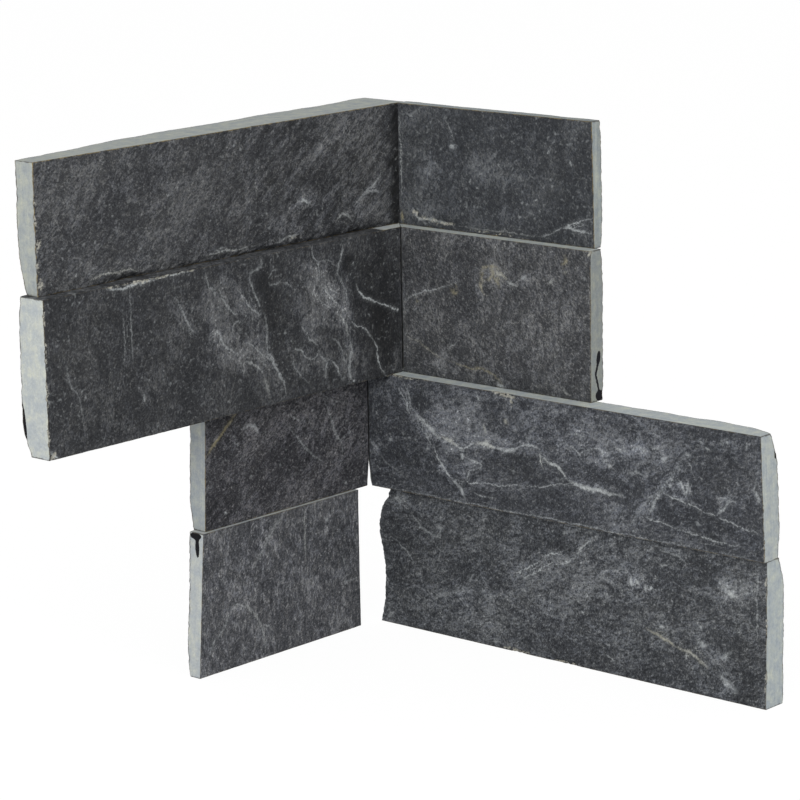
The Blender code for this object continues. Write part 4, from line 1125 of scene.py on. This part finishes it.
RIGHT_4_VEINS = (
    (((-14.5, 26), (-12, 28.1), (-8.3, 30.2), (-5.2, 31.8), (-2.2, 34.2)), 0.3, 0.95, 0.0),
    (((-2.2, 34.2), (0.9, 36.3), (4, 37), (6.9, 36.8)), 0.3, 0.9, 0.0),
    (((-10.4, 26), (-7.3, 28.1), (-3.2, 30.5), (-0.1, 32.9), (3, 34.4)), 0.3, 0.9, 0.0),
    (((3, 34.4), (7.1, 34.2), (10.2, 36), (12.3, 38.1)), 0.3, 0.75, 0.0),
    (((12.3, 38.1), (13.9, 40.2), (16.4, 42.3), (18.5, 43.8)), 0.3, 0.9, 0.1),
    (((24.5, 26.6), (25, 27)), 0.45, 0.8, 0.0),
    (((13, 26.4), (13.6, 27)), 0.6, 0.5, 0.0),
    (((14.2, 19.4), (15.4, 18.4)), 0.35, 0.7, 0.0),
    (((1.6, 44.8), (2.6, 45.2)), 0.5, 0.6, 0.0),
    (((6.6, 44.2), (8, 44.6)), 0.6, 0.6, 0.0),
    (((46.4, 45.4), (52.6, 44.6), (57.2, 42.3)), 0.45, 0.5, 0.0),
    (((44.3, 41.7), (47.4, 40.2), (51.5, 41.7)), 0.4, 0.4, 0.0),
    (((56.4, 12.8), (57, 11.6), (57.2, 10.3)), 0.35, 0.8, 0.1),
    (((-52, 11), (-45, 14.6), (-38, 17), (-31, 24)), 0.8, 0.18, 0.0),
    (((-34, 21), (-32, 24)), 0.7, 0.6, 0.0),
    (((-61, 42), (-57, 38), (-52, 35), (-47, 35), (-47, 43)), 0.6, 0.4, 0.0),
    (((-67, 30), (-62, 26.6), (-58, 22.6)), 0.32, 0.5, 0.0),
    (((41.2, 17.7), (45.4, 16.9), (49.5, 15.6), (52.6, 14.5), (57.2, 13.5)), 0.75, 1.0, 0.6),
    (((52.6, 14.5), (57.2, 13.5), (61.4, 11.9), (65, 9.8)), 0.8, 1.0, 0.45),
    (((85, 46), (84.4, 35), (85, 22)), 0.35, 0.5, 0.0),
    (((34.6, 34), (34.9, 32.6), (35, 31)), 0.5, 1.0, 0.0),
    (((36.6, 32.2), (38.4, 33)), 0.6, 0.8, 0.1),
    (((40, 32.4), (41, 30.6)), 0.7, 0.8, 0.0),
    (((42.4, 32.2), (43.6, 31.4)), 0.6, 0.9, 0.0),
    (((46.2, 20), (47.8, 19.6)), 0.8, 1.0, 0.0),
    (((46.8, 24), (48, 23.4)), 0.8, 0.5, 0.0),
    (((62, 23), (63, 21.6)), 0.7, 0.8, 0.0),
    (((71, 39), (74, 36), (77, 35)), 1.3, 0.85, 0.1),
    (((78, 36), (82, 37.6), (85, 41)), 0.5, 0.45, 0.0),
    (((61, 18), (65, 16)), 1.2, 0.6, 0.0),
    (((70, 13), (75, 17)), 0.9, 0.55, 0.0),
    (((70, 9), (73, 6), (77, 4)), 1.3, 0.55, 0.0),
    (((24, 6), (29, 4.6)), 0.4, 0.5, 0.0),
    (((-71, 1.6), (-69, 4)), 1.0, 0.5, 0.0),
    (((-67, 45), (-64, 44)), 1.1, 0.6, 0.0),
    (((-70, 48.1), (-30, 48.1), (30, 48.1), (88, 48.1)), 0.24, 0.35, 0.0),
)
RIGHT_4_CHIPS = (
    (-14, 0.5, 6, 0.7, 0, 1.2),
    (8, 0.3, 6, 0.5, 0, 1.0),
    (88.0, 40, 0.6, 4, 0, 1.0),
    (88.0, 27, 0.6, 4, 0, 1.0),
    (88.0, 10, 0.6, 5, 0, 1.0),
)
RIGHT_4_SHEAVES = (
    (((-52, 8), (-44, 13), (-34, 19), (-18, 26), (-6, 31), (8, 37), (20, 45)), 3.6, 0.28, 1.1),
    (((-30, 4), (-16, 10), (0, 18), (14, 26), (24, 36)), 3.0, 0.2, 1.2),
    (((66, 28), (72, 34), (80, 39), (86, 46)), 2.0, 0.35, 0.9),
)
RIGHT_4_PATCHES = (
    (-27, 13, 14, 8, 20, 0.32),
    (-22.3, 23, 3.4, 3, 0, -0.4),
    (5, 40, 5, 3, 0, -0.35),
    (27, 45, 4, 3, 0, 0.4),
    (39, 32, 5, 2, -15, 0.5),
    (-45, 12, 12, 6, 20, 0.25),
    (10, 24, 22, 14, 20, 0.22),
    (30, 38, 16, 8, 0, 0.26),
    (40, 31, 8, 4, 0, 0.35),
    (62, 42, 7, 4, 0, -0.30),
    (73, 37, 6, 4, 0, 0.50),
    (72, 8, 7, 7, 0, 0.42),
    (80, 12, 6, 14, 0, -0.45),
    (50, 25, 9, 7, 0, -0.12),
    (-66, 34, 7, 8, 0, -0.25),
    (-62, 22, 8, 9, 0, -0.22),
    (-40, 30, 14, 7, 0, -0.12),
    (-66, 44, 5, 3, 0, 0.35),
    (64, 16, 6, 5, 0, 0.25),
    (20, 3, 20, 4, 0, -0.15),
)
finished("right_wing_row_4",
         lay_strip("right_wing_row_4", "right", 83.0, veins=RIGHT_4_VEINS, sheaves=RIGHT_4_SHEAVES,
                   patches=RIGHT_4_PATCHES, chips=RIGHT_4_CHIPS, end_tone=0.93, wear=0.1,
                   bonded=False, broken=True),
         slate("slate_right_4", tint(67, 69, 72), tint(166, 171, 170), 8.0, slant=20, stretch=1.4, fur=1.25,
               lace=0.3, salt=0.8, cloud=0.65, rim=0.35))


# The studio: a pale floor that meets a white surround, a large soft lamp over the camera's side of
# the corner and a weaker one beside it, and the camera at the photograph's place.

FLOOR_HALF = 3.0
SEEN_WHITE = 1.03               # how bright the floor glows, to the camera alone
SEEN_SHARE = 0.92               # how much of its look is that glow; the rest takes the shadow
floor_mesh = bpy.data.meshes.new("studio_floor")
floor_mesh.from_pydata([(-FLOOR_HALF, -FLOOR_HALF, 0), (FLOOR_HALF, -FLOOR_HALF, 0),
                        (FLOOR_HALF, FLOOR_HALF, 0), (-FLOOR_HALF, FLOOR_HALF, 0)], [], [(0, 1, 2, 3)])
floor = bpy.data.objects.new("studio_floor", floor_mesh)
bpy.context.scene.collection.objects.link(floor)
paper = Finish("white_paper")
paper.shader.inputs["Base Color"].default_value = (0.86, 0.86, 0.86, 1.0)
paper.shader.inputs["Roughness"].default_value = 0.9
shining = paper.tree.nodes.new("ShaderNodeEmission")
shining.inputs["Color"].default_value = (1.0, 1.0, 1.0, 1.0)
shining.inputs["Strength"].default_value = SEEN_WHITE
seen = paper.add("ShaderNodeLightPath", None, 0)
blend = paper.tree.nodes.new("ShaderNodeMixShader")
feed(blend.inputs[0], seen * SEEN_SHARE)
paper.tree.links.new(paper.shader.outputs[0], blend.inputs[1])
paper.tree.links.new(shining.outputs[0], blend.inputs[2])
paper.tree.links.new(blend.outputs[0], paper.tree.nodes["Material Output"].inputs[0])
floor_mesh.materials.append(paper.material)

world = bpy.data.worlds.new("white_surround")
bpy.context.scene.world = world
world.use_nodes = True
backing = world.node_tree.nodes["Background"]
backing.inputs["Color"].default_value = (1.0, 1.0, 1.0, 1.0)
rays = world.node_tree.nodes.new("ShaderNodeLightPath")
to_camera = Shade(rays.outputs["Is Camera Ray"])
to_mirror = Shade(rays.outputs["Is Glossy Ray"])
to_glass = Shade(rays.outputs["Is Transmission Ray"])
direct = (to_camera + to_mirror + to_glass).clamped()
AMBIENT = 0.62
feed(backing.inputs["Strength"], AMBIENT + direct * (1.0 - AMBIENT))


def hang_lamp(name, place, size, watts):
    """A square soft lamp that faces the middle of the piece."""
    lamp = bpy.data.lights.new(name, "AREA")
    lamp.size = size
    lamp.energy = watts
    holder = bpy.data.objects.new(name, lamp)
    bpy.context.scene.collection.objects.link(holder)
    holder.location = place
    aim = (cad_low + cad_high) / 2 - holder.location
    holder.rotation_euler = aim.to_track_quat("-Z", "Y").to_euler()


hang_lamp("key_lamp", (1.5, 0.75, 1.05), 1.1, 17.0)
hang_lamp("fill_lamp", (0.35, 1.5, 0.9), 1.1, 9.0)

CAMERA_PLACE = (0.7508, 0.6700, 0.3254)
CAMERA_AZIMUTH, CAMERA_ELEVATION, CAMERA_ROLL = 41.716, 12.554, 1.024
LENS_MM = 149.58
azimuth, elevation, roll = (
    math.radians(turn) for turn in (CAMERA_AZIMUTH, CAMERA_ELEVATION, CAMERA_ROLL))
back = np.array([math.cos(elevation) * math.cos(azimuth), math.cos(elevation) * math.sin(azimuth),
                 math.sin(elevation)])
level_right = np.array([-math.sin(azimuth), math.cos(azimuth), 0.0])
level_up = np.cross(back, level_right)
right = level_right * math.cos(roll) - level_up * math.sin(roll)
camera_up = level_up * math.cos(roll) + level_right * math.sin(roll)
stand = np.eye(4)
stand[:3, 0], stand[:3, 1], stand[:3, 2], stand[:3, 3] = right, camera_up, back, CAMERA_PLACE
camera = bpy.data.objects.new("camera", bpy.data.cameras.new("camera"))
camera.data.lens = LENS_MM
camera.data.clip_start = 0.05
camera.matrix_world = stand.T.tolist()
bpy.context.scene.collection.objects.link(camera)
bpy.context.scene.camera = camera
bpy.context.scene.view_settings.view_transform = "Standard"
